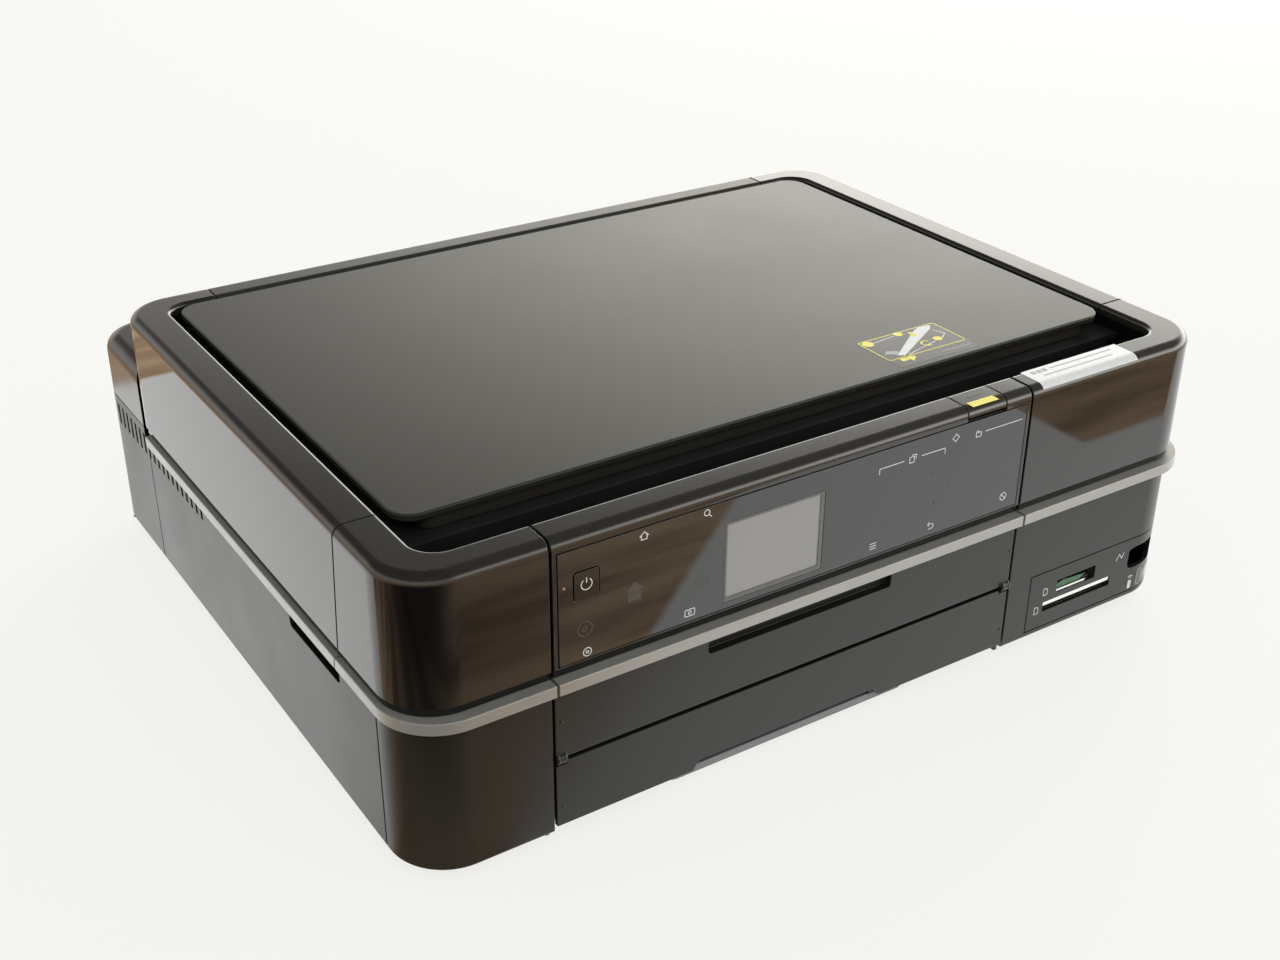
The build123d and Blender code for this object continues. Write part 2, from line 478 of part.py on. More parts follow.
def ink_tank(i):
    """One ink tank: a box with a chamfered front, a grip ridge and a lever at the back."""
    x = HOME_X + (i - (INK_N - 1) / 2) * INK_PITCH
    body = block(x - INK_W / 2, x + INK_W / 2, INK_Y0, INK_Y0 + INK_L, INK_Z0, INK_Z0 + INK_H)
    body = fillet(body.faces().sort_by(Axis.Z)[-1].edges(), 1.2)
    grip = block(x - INK_W / 2 + 2, x + INK_W / 2 - 2, INK_Y0 + 4, INK_Y0 + 12, INK_Z0 + INK_H - 1,
                 INK_Z0 + INK_H + 1.2)
    return body + grip


keep("ink_tanks", *[ink_tank(i) for i in range(INK_N)])

# ---------------------------------------------------------------- platen, capping station, rollers
PLATEN_Y0, PLATEN_Y1 = EXIT_Y + 12, FEED_Y - 8
PLATEN_RIBS = 15
platen = block(PLATEN_X0, PLATEN_X1, PLATEN_Y0, PLATEN_Y1, PAPER_Z - 6, PAPER_Z - 1.5)
for i in range(PLATEN_RIBS):
    x = PLATEN_X0 + 7.0 + i * (PLATEN_X1 - PLATEN_X0 - 14.0) / (PLATEN_RIBS - 1)
    platen += block(x - 0.8, x + 0.8, PLATEN_Y0, PLATEN_Y1, PAPER_Z - 2, PAPER_Z)
for x0, x1 in ((LEFT_END, PLATEN_X0 + 1), (PLATEN_X1 - 1, RIGHT_END)):
    platen += block(x0, x1, PLATEN_Y0 + 6, PLATEN_Y1 - 6, PAPER_Z - 6, PAPER_Z - 2)
keep("platen", platen)

station = block(HOME_X - 42, HOME_X + 42, -30, 30, BELLY_Z, HEAD_Z - 8)
station -= block(HOME_X - 38, HOME_X + 38, -26, 26, HEAD_Z - 16, FAR)
for i in range(3):
    x = HOME_X + (i - 1) * 22.0
    cap = slab_z(x - 9, x + 9, -11, 23, HEAD_Z - 17, HEAD_Z - 0.6, 2)
    station += cap - slab_z(x - 7, x + 7, -9, 21, HEAD_Z - 4, FAR, 1.5)
keep("capping_station", station)

GEAR_M = 1.25                 # gear module
TEETH_ROLLER, TEETH_IDLER = 20, 36
PRESSURE = radians(20)
BACKLASH = 0.12


def gear(teeth, y, z, turned):
    """Spur gear on an X axis; the flanks are involutes of the base circle."""
    pitch = GEAR_M * teeth / 2
    base = pitch * cos(PRESSURE)
    root, tip = pitch - 1.25 * GEAR_M, pitch + 0.9 * GEAR_M
    half = pi / (2 * teeth) + tan(PRESSURE) - PRESSURE - BACKLASH / pitch
    flank = []
    for i in range(5):
        r = max(base, root) + (tip - max(base, root)) * i / 4
        roll = sqrt(max((r / base) ** 2 - 1, 0))
        flank.append((r, half - (roll - atan(roll))))
    points = []
    for k in range(teeth):
        middle = 2 * pi * k / teeth + turned
        side = [(root, flank[0][1])] + flank
        ring = [(r, -a) for r, a in side] + [(r, a) for r, a in reversed(side)]
        points += [(y + r * cos(middle + a), z + r * sin(middle + a)) for r, a in ring]
    return prism_x(points, GEAR_X0, GEAR_X1)


def roller(y, r, turned):
    """Shaft with rubber tyres and its gear on the left end."""
    body = rod_x(GEAR_X0 - 3, CHANNEL_X1 + 4, y, ROLLER_Z, SHAFT_R)
    for i in range(5):
        x = MID_X + (i - 2) * 46.0
        body += rod_x(x - 9, x + 9, y, ROLLER_Z, r)
    return body + gear(TEETH_ROLLER, y, ROLLER_Z, turned)


HALF_PITCH = pi / TEETH_ROLLER
keep("feed_roller", roller(FEED_Y, PAPER_Z - ROLLER_Z, HALF_PITCH))
keep("exit_roller", roller(EXIT_Y, PAPER_Z - ROLLER_Z, HALF_PITCH))
idler = gear(TEETH_IDLER, IDLER_Y, ROLLER_Z, 0)
idler -= rod_x(GEAR_X0 - 1, GEAR_X1 + 1, IDLER_Y, ROLLER_Z, AXLE_R + RUN)
keep("transfer_gear", idler)

# ---------------------------------------------------------------- electronics
inlet_face = REAR_Y - 0.5
SUPPLY_L = 73.5
supply_y1 = inlet_face - INLET_D - 0.5
keep("power_supply", block(INLET_X - 16.0, INLET_X + 24.0, supply_y1 - SUPPLY_L, supply_y1,
                           INLET_Z - 16.0, INLET_Z + 16.0))
BOARD_T = 1.6
BOARD_X, BOARD_Y0, BOARD_Y1 = LOWER_X - 10.5, FACE_Y + 48.0, REAR_Y - 16.5
board = block(BOARD_X, BOARD_X + BOARD_T, BOARD_Y0, BOARD_Y1, SILL_Z + 0.2, 76.0)
# chips and sockets: distance from the board's front end, length, lower and upper height, thickness
CHIPS = ((10, 20, 50, 66, 3.5), (50, 40, 30, 62, 2), (110, 18, 20, 50, 3.5), (150, 40, 56, 70, 4))
for back, length, z0, z1, t in CHIPS:
    board += block(BOARD_X - t, BOARD_X + 0.1, BOARD_Y0 + back, BOARD_Y0 + back + length, z0, z1)
INLET_WELL_D, INLET_PIN_R, INLET_PIN_OUT = 13.0, 1.1, 4.0
inlet = block(INLET_X - INLET_W / 2, INLET_X + INLET_W / 2, inlet_face - INLET_D, inlet_face,
              INLET_Z0, INLET_Z1)
inlet -= slab_y(INLET_X - INLET_W / 2 + 2, INLET_X + INLET_W / 2 - 2, INLET_Z0 + 2, INLET_Z1 - 2,
                inlet_face - INLET_WELL_D, FAR, 4)
for x in (INLET_X - INLET_PIN_OUT, INLET_X + INLET_PIN_OUT):
    inlet += rod_y(inlet_face - INLET_WELL_D - 1, inlet_face - 4, x, INLET_Z, INLET_PIN_R)
keep("power_inlet", inlet)
usb = block(USB_X0, USB_X1, REAR_Y - 18, REAR_Y - 0.8, USB_Z0, USB_Z1)
usb -= block(USB_X0 + 1, USB_X1 - 1, REAR_Y - 13, FAR, USB_Z0 + 1, USB_Z1 - 1)
usb += block(REAR_USB_X - 3, REAR_USB_X + 3, REAR_Y - 14, REAR_Y - 3, REAR_USB_Z - 1.5, REAR_USB_Z + 1.5)
board += usb
board += block(USB_X1 - 0.5, BOARD_X + 0.1, BOARD_Y1 - 6, BOARD_Y1, REAR_USB_Z - 4, REAR_USB_Z + 4)
keep("main_board", board)

# ---------------------------------------------------------------- card slot panel and its sockets
SD_W, SD_H, SD_RAISE = 27.0, 7.0, 17.3
CF_W, CF_H, CF_RAISE = 47.5, 5.2, 8.8
SD_X0, SD_Z0 = CARD_X0 + 19.2, CARD_Z0 + SD_RAISE
SD_X1, SD_Z1 = SD_X0 + SD_W, SD_Z0 + SD_H
CF_X0, CF_Z0 = CARD_X0 + 10.7, CARD_Z0 + CF_RAISE
CF_X1, CF_Z1 = CF_X0 + CF_W, CF_Z0 + CF_H
HOST_X0, HOST_X1 = CARD_X1 - 25.5, CARD_X1 - 5.0
HOST_Z0, HOST_Z1 = CARD_Z0 + 13.8, CARD_Z0 + 26.3
READER_Y0, READER_DEPTH, SLOT_DEPTH = FACE_Y + WALL + 0.3, 44.0, 38.0
card_panel = lower_ring & block(CARD_X0, CARD_X1, -FAR, CARD_Y1, CARD_Z0, CARD_Z1)
card_panel -= slab_y(SD_X0, SD_X1, SD_Z0, SD_Z1, -FAR, CARD_Y1, 0.6)
card_panel -= slab_y(CF_X0, CF_X1, CF_Z0, CF_Z1, -FAR, CARD_Y1, 0.6)
card_panel -= slab_y(HOST_X0, HOST_X1, HOST_Z0, HOST_Z1, -FAR, CARD_Y1, 3.0)
keep("card_slot_panel", card_panel)
reader = block(CF_X0 - 3, CF_X1 + 3, READER_Y0, READER_Y0 + READER_DEPTH, CF_Z0 - 2.5, SD_Z1 + 2.5)
reader -= block(CF_X0 + 1, CF_X1 - 1, READER_Y0 - 1, READER_Y0 + SLOT_DEPTH, CF_Z0 + 0.3, CF_Z1 - 0.3)
reader -= block(SD_X0 + 0.6, SD_X1 - 0.6, READER_Y0 - 1, READER_Y0 + SLOT_DEPTH - 8, SD_Z0 + 1, SD_Z1 - 0.8)
host_mid_x, host_mid_z = (HOST_X0 + HOST_X1) / 2, (HOST_Z0 + HOST_Z1) / 2
host_y0, host_y1 = FACE_Y + 10.0, FACE_Y + 28.0
host = block(host_mid_x - 7, host_mid_x + 7, host_y0, host_y1, host_mid_z - 3.6, host_mid_z + 3.6)
host -= block(host_mid_x - 6.4, host_mid_x + 6.4, host_y0 - 1, host_y1 - 2, host_mid_z - 3, host_mid_z + 3)
host += block(host_mid_x - 5.6, host_mid_x + 5.6, host_y0 + 3, host_y1 - 1, host_mid_z + 0.2,
              host_mid_z + 2.0)
reader_board = block(CF_X0 - 3, host_mid_x + 8, READER_Y0 + READER_DEPTH - 26, READER_Y0 + READER_DEPTH - 12,
                     CF_Z0 - 4, CF_Z0 - 2.4)
reader_board += block(host_mid_x - 5, host_mid_x + 5, host_y1 - 7, host_y1 - 1, CF_Z0 - 4,
                      host_mid_z - 3)
keep("card_reader", reader + host + reader_board)

# ---------------------------------------------------------------- front cover
DOOR_T = 2.6
DOOR_DEPTH = 5.2              # turned-in sides and finger pocket
RETURN_DROP = 2.0             # they end this far below the cover's top edge
DOOR_TOP = LOWER_TOP
DOOR_PIN_Y, DOOR_PIN_Z, KNUCKLE_R, KNUCKLE_L = FACE_Y + 1.4, DOOR_Z + 0.25, 3.0, 5.0
GRIP_X0, GRIP_X1, GRIP_Z = MID_X - 51.35, MID_X + 50.15, DOOR_TOP - 9.7
door = block(MOUTH_X0, MOUTH_X1, FACE_Y, FACE_Y + DOOR_T, DOOR_Z, DOOR_TOP)
door = fillet(door.edges().filter_by(Axis.X).sort_by(Axis.Z)[:2].sort_by(Axis.Y)[:1], 1.2)
for x0, x1 in ((MOUTH_X0, MOUTH_X0 + 1.8), (MOUTH_X1 - 1.8, MOUTH_X1)):
    door += block(x0, x1, FACE_Y + DOOR_T - 0.5, FACE_Y + DOOR_DEPTH, DOOR_Z + 6, DOOR_TOP - RETURN_DROP)
door -= slab_y(GRIP_X0, GRIP_X1, GRIP_Z, DOOR_TOP + 10, -FAR, 0, 1.5)
door += (slab_y(GRIP_X0 - 2, GRIP_X1 + 2, GRIP_Z - 2, DOOR_TOP + 10, FACE_Y + 0.6, FACE_Y + DOOR_DEPTH, 2)
         - slab_y(GRIP_X0, GRIP_X1, GRIP_Z, DOOR_TOP + 20, -FAR, FACE_Y + DOOR_DEPTH - 1.2, 1.5)
         - block(-FAR, FAR, -FAR, FAR, DOOR_TOP - RETURN_DROP, FAR))
for x0, x1 in ((MOUTH_X0, MOUTH_X0 + KNUCKLE_L), (MOUTH_X1 - KNUCKLE_L, MOUTH_X1)):
    door += rod_x(x0, x1, DOOR_PIN_Y, DOOR_PIN_Z, KNUCKLE_R)
FLAP_Y, FLAP_Z, FLAP_PIN_R, FLAP_L = FACE_Y + DOOR_T + 1.9, DOOR_TOP - 4.5, 0.9, 19.0
FLAP_X0, FLAP_X1, FLAP_T, FLAP_ARM = MID_X - 82.35, MID_X + 81.65, 2.0, 16.0
LUG_T, LUG_R = 3.0, 2.0
for x in (FLAP_X0 - CLEAR - LUG_T, FLAP_X1 + CLEAR):
    door += block(x, x + LUG_T, FACE_Y + DOOR_T - 0.5, FLAP_Y, FLAP_Z - LUG_R, FLAP_Z + LUG_R)
    door += rod_x(x, x + LUG_T, FLAP_Y, FLAP_Z, LUG_R)
for x0, x1 in ((FLAP_X0 - CLEAR - 1, FLAP_X0 + 5), (FLAP_X1 - 5, FLAP_X1 + CLEAR + 1)):
    door += rod_x(x0, x1, FLAP_Y, FLAP_Z, FLAP_PIN_R)
keep("front_cover", door)

# output extension: a bow that lies behind the front cover and swings out at its free edge
flap = block(FLAP_X0, FLAP_X1, FLAP_Y - FLAP_T / 2, FLAP_Y + FLAP_T / 2, FLAP_Z - FLAP_L, FLAP_Z)
flap -= block(FLAP_X0 + FLAP_ARM, FLAP_X1 - FLAP_ARM, -FAR, FAR, GRIP_Z - 5.0, FAR)
for x0, x1 in ((FLAP_X0, FLAP_X0 + FLAP_ARM), (FLAP_X1 - FLAP_ARM, FLAP_X1)):
    flap += rod_x(x0, x1, FLAP_Y, FLAP_Z, FLAP_PIN_R + 0.7)
    flap -= rod_x(x0 - 1, x1 + 1, FLAP_Y, FLAP_Z, FLAP_PIN_R + RUN)
keep("output_extension", flap)

# ---------------------------------------------------------------- paper cassette
CASSETTE_TOP = DOOR_Z - 1.45
CUT_X0, CUT_X1, CUT_Z = MID_X - 54.35, MID_X + 44.65, CASSETTE_Z + 4.7
CUT_SLANT = 4.5               # how far each slanted end of the cut-out runs
SHELL_T = 2.0
TRAY_X0, TRAY_X1 = LEFT_END + 4.2, RIGHT_END - 4.2
TRAY_Y1, TRAY_Z0, TRAY_TOP = TURN_Y - 18.0, CASSETTE_Z + 0.2, CASSETTE_TOP - 2.0
TRAY_REAR_TOP = 32.0
PHOTO_Z0, PHOTO_H = 36.0, 6.0
front = block(MOUTH_X0, MOUTH_X1, FACE_Y, FACE_Y + WALL, CASSETTE_Z, CASSETTE_TOP)
cut_shape = [(CUT_X0 - CUT_SLANT, CASSETTE_Z - 1), (CUT_X0, CUT_Z), (CUT_X1, CUT_Z),
             (CUT_X1 + CUT_SLANT, CASSETTE_Z - 1)]
front -= prism_y(cut_shape, FACE_Y - 1, FACE_Y + WALL + 1)
for x0, x1 in ((MOUTH_X0 - 1, MOUTH_X0 + KNUCKLE_L + 0.6), (MOUTH_X1 - KNUCKLE_L - 0.6, MOUTH_X1 + 1)):
    front -= block(x0, x1, -FAR, 0, DOOR_PIN_Z - KNUCKLE_R - 0.5, FAR)
keep("cassette_front", front)
case_y0 = FACE_Y + WALL
cassette = block(TRAY_X0, TRAY_X1, case_y0, TRAY_Y1, TRAY_Z0, TRAY_TOP)
CASSETTE_FLOOR_T = 1.8
cassette -= block(TRAY_X0 + SHELL_T, TRAY_X1 - SHELL_T, case_y0 + SHELL_T, TRAY_Y1 - SHELL_T,
                  TRAY_Z0 + CASSETTE_FLOOR_T, FAR)
cassette -= block(TRAY_X0 - 1, TRAY_X1 + 1, TRAY_Y1 - 36, TRAY_Y1 + 1, TRAY_REAR_TOP, FAR)
CUT_D = 8.0                   # finger room behind the cassette's front
cassette += block(CUT_X0 - SHELL_T, CUT_X1 + SHELL_T, case_y0, case_y0 + CUT_D + SHELL_T,
                  TRAY_Z0, CUT_Z + SHELL_T)
cassette -= block(CUT_X0, CUT_X1, -FAR, case_y0 + CUT_D, 0, CUT_Z)
INNER_X0, INNER_X1 = TRAY_X0 + SHELL_T, TRAY_X1 - SHELL_T
RUNNER_W = 2.5                # ledges that carry the photo tray
for x0, x1 in ((INNER_X0 - 0.5, INNER_X0 + RUNNER_W), (INNER_X1 - RUNNER_W, INNER_X1 + 0.5)):
    cassette += block(x0, x1, case_y0 + SHELL_T, TRAY_Y1 - 38.0, PHOTO_Z0 - 2.6, PHOTO_Z0 - 0.4)
keep("cassette_tray", cassette)

GUIDE_FLOAT = 0.2             # guides above the cassette's floor
FLOOR_Z = TRAY_Z0 + CASSETTE_FLOOR_T + GUIDE_FLOAT
GUIDE_T, GUIDE_H, GUIDE_L = 2.5, 15.0, 70.0
GUIDE_IN = 16.95              # fence to the cassette's side wall at rest, for the widest sheet
GUIDE_FOOT_W = 16.0
GUIDE_Y0 = FACE_Y + 108.0


def edge_guide(side):
    """Upright fence with a low foot, standing just outside the sheet's edge."""
    x = (INNER_X0 if side < 0 else INNER_X1) - side * GUIDE_IN
    f0, f1 = sorted((x, x + side * GUIDE_T))
    b0, b1 = sorted((x, x + side * GUIDE_FOOT_W))
    fence = block(f0, f1, GUIDE_Y0, GUIDE_Y0 + GUIDE_L, FLOOR_Z, FLOOR_Z + GUIDE_H)
    return fence + block(b0, b1, GUIDE_Y0 + 20.0, GUIDE_Y0 + 20.0 + GUIDE_L / 2, FLOOR_Z, FLOOR_Z + 2.0)


keep("edge_guide_left", edge_guide(-1))
keep("edge_guide_right", edge_guide(1))
length_y = case_y0 + SHELL_T + 11.5   # rest place, for the longest sheet
length_guide = block(MID_X - 22, MID_X + 22, length_y - GUIDE_T, length_y, FLOOR_Z, FLOOR_Z + GUIDE_H)
length_guide += block(MID_X - 10, MID_X + 10, length_y - 1, length_y + 16, FLOOR_Z, FLOOR_Z + 1.5)
keep("length_guide", length_guide)
PHOTO_X0, PHOTO_X1 = MID_X - 64, MID_X + 64
PHOTO_Y0, PHOTO_Y1 = case_y0 + SHELL_T + 1, FACE_Y + 196.0
photo = block(INNER_X0 + CLEAR, INNER_X1 - CLEAR, PHOTO_Y0, PHOTO_Y1, PHOTO_Z0, PHOTO_Z0 + 1.6)
for x0, x1 in ((PHOTO_X0 - 2, PHOTO_X0), (PHOTO_X1, PHOTO_X1 + 2)):
    photo += block(x0, x1, PHOTO_Y0, PHOTO_Y1 - 20, PHOTO_Z0 + 1, PHOTO_Z0 + PHOTO_H)
photo += block(PHOTO_X0 - 2, PHOTO_X1 + 2, PHOTO_Y0, PHOTO_Y0 + 2, PHOTO_Z0 + 1, PHOTO_Z0 + PHOTO_H)
for x0, x1 in ((INNER_X0 + CLEAR, INNER_X0 + CLEAR + 2), (INNER_X1 - CLEAR - 2, INNER_X1 - CLEAR)):
    photo += block(x0, x1, PHOTO_Y0, PHOTO_Y1, PHOTO_Z0 + 1, PHOTO_Z0 + PHOTO_H)
keep("photo_tray", photo)

# ---------------------------------------------------------------- output tray and disc tray
OUT_X0, OUT_X1 = LEFT_END + 1.0, RIGHT_END - 1.0
OUT_Y0, OUT_Y1 = FACE_Y + 12.5, EXIT_Y - 16.0
out_tray = block(OUT_X0, OUT_X1, OUT_Y0, OUT_Y1, OUT_Z, OUT_Z + OUT_T)
out_tray -= slab_z(OUT_X0 + 14, OUT_X1 - 14, OUT_Y0 + 8, OUT_Y1 - 8, OUT_Z + OUT_T - 1.0, FAR, 4)
for i in range(7):
    x = MID_X + (i - 3) * 32.0
    out_tray += block(x - 0.8, x + 0.8, OUT_Y0 + 6, OUT_Y1 - 6, OUT_Z + 1, OUT_Z + OUT_T)
keep("output_tray", out_tray)

DISC_R, DISC_HOLE_R = 60.5, 7.3
disc_y0 = FACE_Y + 4.0
disc_mid_y = disc_y0 + 92.0
disc = slab_z(DISC_X0, DISC_X1, disc_y0, disc_y0 + DISC_L, DISC_Z0, DISC_Z0 + DISC_T, 6)
disc -= rod_z(DISC_Z0 + DISC_T - 1.6, FAR, MID_X, disc_mid_y, DISC_R)
disc += rod_z(DISC_Z0 + 0.5, DISC_Z0 + DISC_T - 0.2, MID_X, disc_mid_y, DISC_HOLE_R)
disc -= rod_z(DISC_Z0 + DISC_T - 1.6, FAR, MID_X, disc_mid_y, DISC_HOLE_R - 1.8)
keep("disc_tray", disc)

# ---------------------------------------------------------------- paper pick-up and duplex unit
PICK_Y, PICK_R = TRAY_Y1 - 24.0, 10.0
ARM_PIN_Y, ARM_PIN_Z = PICK_Y - 34.0, 51.5
PICK_Z = TRAY_REAR_TOP + 2.5 + PICK_R
ARM_HALF_W, CHEEK_T = 16.0, 3.0
pick_shaft = rod_x(MID_X - 20, MID_X + 20, ARM_PIN_Y, ARM_PIN_Z, 2.5)


def arm_cheek(x0, x1):
    """Side plate of the swing arm, from its pivot down to the roller's axle."""
    points = [(ARM_PIN_Y - 3, ARM_PIN_Z + 4), (ARM_PIN_Y - 3, ARM_PIN_Z - 4),
              (PICK_Y - 3, PICK_Z - 5), (PICK_Y + 5, PICK_Z - 5), (PICK_Y + 5, PICK_Z + 5)]
    return prism_x(points, x0, x1)


arm_x0, arm_x1 = MID_X - ARM_HALF_W, MID_X + ARM_HALF_W
arm = arm_cheek(arm_x0, arm_x0 + CHEEK_T) + arm_cheek(arm_x1 - CHEEK_T, arm_x1)
arm += block(arm_x0, arm_x1, ARM_PIN_Y + 7, ARM_PIN_Y + 12, ARM_PIN_Z - 3, ARM_PIN_Z + 2)
arm -= rod_x(MID_X - 30, MID_X + 30, ARM_PIN_Y, ARM_PIN_Z, 2.5 + RUN)
arm += rod_x(arm_x0 + 1, arm_x1 - 1, PICK_Y, PICK_Z, 2.0)
keep("pickup_arm", arm)
keep("pickup_roller", rod_x(MID_X - 12, MID_X + 12, PICK_Y, PICK_Z, PICK_R)
     - rod_x(MID_X - 13, MID_X + 13, PICK_Y, PICK_Z, 2.0 + RUN))

# bridge behind the metal frame that carries the pick-up shaft
frame_back = FRAME_Y + FRAME_T
bridge = block(LEFT_END - 1, RIGHT_END + 1, frame_back + CLEAR, frame_back + 3, 46.0, PAPER_Z - 2)
bridge += block(LEFT_END - 1, RIGHT_END + 1, frame_back + 2, TURN_Y - TURN_R - 4, PAPER_Z - 3.5,
                PAPER_Z - 2)
for x0, x1 in ((MID_X - 20, MID_X - 17), (MID_X + 17, MID_X + 20)):
    bridge += block(x0, x1, frame_back + 2, ARM_PIN_Y + 5, ARM_PIN_Z - 6, PAPER_Z - 3)
keep("bottom_tray", tray + bridge + pick_shaft)

TURN_END_IN = 23.65           # channel wall to the roller's rubber
turn_roller = rod_x(LEFT_END + TURN_END_IN, RIGHT_END - TURN_END_IN, TURN_Y, TURN_Z, TURN_R)
turn_roller += rod_x(CHANNEL_X0 - 3, CHANNEL_X1 + 3, TURN_Y, TURN_Z, SHAFT_R)
keep("reverse_roller", turn_roller)

# unit that turns the sheet over: a block whose open front wraps half way round the roller
DUPLEX_Y0, DUPLEX_Y1 = TURN_Y + SHAFT_R + 2, REAR_Y - 0.4     # its ends stay behind the shaft
DUPLEX_END_T = 4.0
BAY_R = TURN_R + 5.0          # the bay stands off the roller by this much
bay_end = DUPLEX_X0 + DUPLEX_END_T, DUPLEX_X1 - DUPLEX_END_T
duplex = block(DUPLEX_X0, DUPLEX_X1, DUPLEX_Y0, DUPLEX_Y1, DUPLEX_Z0, DUPLEX_Z1)
duplex = fillet(duplex.faces().sort_by(Axis.Y)[-1].edges(), 2.0)
bay = [(DUPLEX_Y0 - 1, TURN_Z - BAY_R), (TURN_Y + BAY_R * 0.5, TURN_Z - BAY_R),
       (TURN_Y + BAY_R, TURN_Z - BAY_R * 0.5), (TURN_Y + BAY_R, TURN_Z + BAY_R * 0.5),
       (TURN_Y + BAY_R * 0.5, TURN_Z + BAY_R), (DUPLEX_Y0 - 1, TURN_Z + BAY_R)]
duplex -= prism_x(bay, *bay_end)
PINCH_IN, PINCH_Z0, PINCH_Z1 = 70.0, 40.0, 56.0       # two grips to pull the unit out by
for x in (MID_X - PINCH_IN, MID_X + PINCH_IN):
    duplex -= slab_y(x - 14, x + 14, PINCH_Z0, PINCH_Z1, REAR_Y - 9, FAR, 3)
keep("duplex_unit", duplex)

# ---------------------------------------------------------------- control panel
FRAME_X0, FRAME_X1 = MOUTH_X0, MOUTH_X1
PANEL_BACK = FACE_Y + 14.0
SHEET_X0, SHEET_X1, SHEET_Z0, SHEET_Z1 = MOUTH_X0 + 2.5, MOUTH_X1 - 2.4, STRIP_Z1 + 4.9, HEIGHT - 7.0
SHEET_T = 1.4
LCD_W, LCD_H = 52.1, 38.6
LCD_X0, LCD_Z0 = SHEET_X0 + 80.4, SHEET_Z0 + 3.2
LCD_X1, LCD_Z1 = LCD_X0 + LCD_W, LCD_Z0 + LCD_H
POWER_X, POWER_Z, POWER_W, POWER_H = SHEET_X0 + 13.0, SHEET_Z1 - 17.1, 11.6, 12.6
RELEASE_X0, RELEASE_X1, RELEASE_Z = MOUTH_X1 - 38.8, MOUTH_X1 - 15.8, HEIGHT - 5.1
RELEASE_TRAVEL = 1.3
panel = FRONT_SHELL & block(FRAME_X0, FRAME_X1, -FAR, OPEN_Y0 + 5, 0, FAR)
for x0, x1 in ((FRAME_X0, FRAME_X0 + 2), (FRAME_X1 - 2, FRAME_X1)):
    panel += block(x0, x1, FACE_Y + 1, PANEL_BACK, UPPER_Z, HEIGHT - RIM_T + 0.5)
panel -= rod_x(-FAR, FAR, PANEL_PIN_Y, PANEL_PIN_Z, PANEL_PIN_R + RUN)
for x0, x1 in ((FRAME_X0, FRAME_X0 + 6), (FRAME_X1 - 6, FRAME_X1)):
    panel += rod_x(x0, x1, PANEL_PIN_Y, PANEL_PIN_Z, PANEL_PIN_R + 2)
    panel -= rod_x(x0 - 1, x1 + 1, PANEL_PIN_Y, PANEL_PIN_Z, PANEL_PIN_R + RUN)
panel += block(FRAME_X0 + 1, FRAME_X1 - 1, PANEL_BACK - 1.5, PANEL_BACK, UPPER_Z, DECK_Z)
panel += block(FRAME_X0 + 1, FRAME_X1 - 1, FACE_Y + 1, PANEL_BACK, UPPER_Z, UPPER_Z + 1.5)
panel += block(FRAME_X0 + 1, FRAME_X1 - 1, FACE_Y + 1, FACE_Y + 3.2, UPPER_Z, HEIGHT - RIM_T)
panel -= block(SHEET_X0 - 0.3, SHEET_X1 + 0.3, -FAR, FACE_Y + SHEET_T, SHEET_Z0 - 0.3, SHEET_Z1 + 0.3)
panel -= block(LCD_X0 - 0.3, LCD_X1 + 0.3, -FAR, FACE_Y + 6, LCD_Z0 - 0.3, LCD_Z1 + 0.3)
panel -= block(POWER_X - POWER_W / 2 - 0.4, POWER_X + POWER_W / 2 + 0.4, -FAR, FACE_Y + 6,
               POWER_Z - POWER_H / 2 - 0.4, POWER_Z + POWER_H / 2 + 0.4)
panel -= block(RELEASE_X0 - CLEAR, RELEASE_X1 + CLEAR, -FAR, OPEN_Y0 + 5,
               RELEASE_Z - RELEASE_TRAVEL - CLEAR, FAR)
keep("panel_frame", panel)
sheet = slab_y(SHEET_X0, SHEET_X1, SHEET_Z0, SHEET_Z1, FACE_Y - 0.1, FACE_Y + SHEET_T - 0.1, 0.8)
sheet -= slab_y(LCD_X0 - 0.2, LCD_X1 + 0.2, LCD_Z0 - 0.2, LCD_Z1 + 0.2, -FAR, 0, 0.8)
sheet -= slab_y(POWER_X - POWER_W / 2 - 0.35, POWER_X + POWER_W / 2 + 0.35, POWER_Z - POWER_H / 2 - 0.35,
                POWER_Z + POWER_H / 2 + 0.35, -FAR, 0, 1.9)
keep("touch_sheet", sheet)
keep("display", slab_y(LCD_X0, LCD_X1, LCD_Z0, LCD_Z1, FACE_Y + 0.3, FACE_Y + 5.0, 0.6))
power = slab_y(POWER_X - POWER_W / 2, POWER_X + POWER_W / 2, POWER_Z - POWER_H / 2, POWER_Z + POWER_H / 2,
               FACE_Y - 0.3, FACE_Y + 3.0, 1.6)
keep("power_button", power + rod_y(FACE_Y + 2, FACE_Y + 8, POWER_X, POWER_Z, 2.0))
release = upper_shell(RELEASE_Z) & block(RELEASE_X0, RELEASE_X1, -FAR, OPEN_Y0 + 5, RELEASE_Z, FAR)
keep("panel_release_button", release)
panel_strip = STRIP & block(FRAME_X0, FRAME_X1, -FAR, 0, 0, FAR)
FINGER_X0, FINGER_X1, FINGER_H = GRIP_X0 + 3.0, GRIP_X1 - 3.5, 1.6
lip = [(FINGER_X0, STRIP_Z0 - 1), (FINGER_X1, STRIP_Z0 - 1),
       (FINGER_X1 - 1, STRIP_Z0 + FINGER_H), (FINGER_X0 + 1, STRIP_Z0 + FINGER_H)]
panel_strip -= prism_y(lip, -DEPTH / 2 + 1.4, 0)
keep("panel_strip", panel_strip)

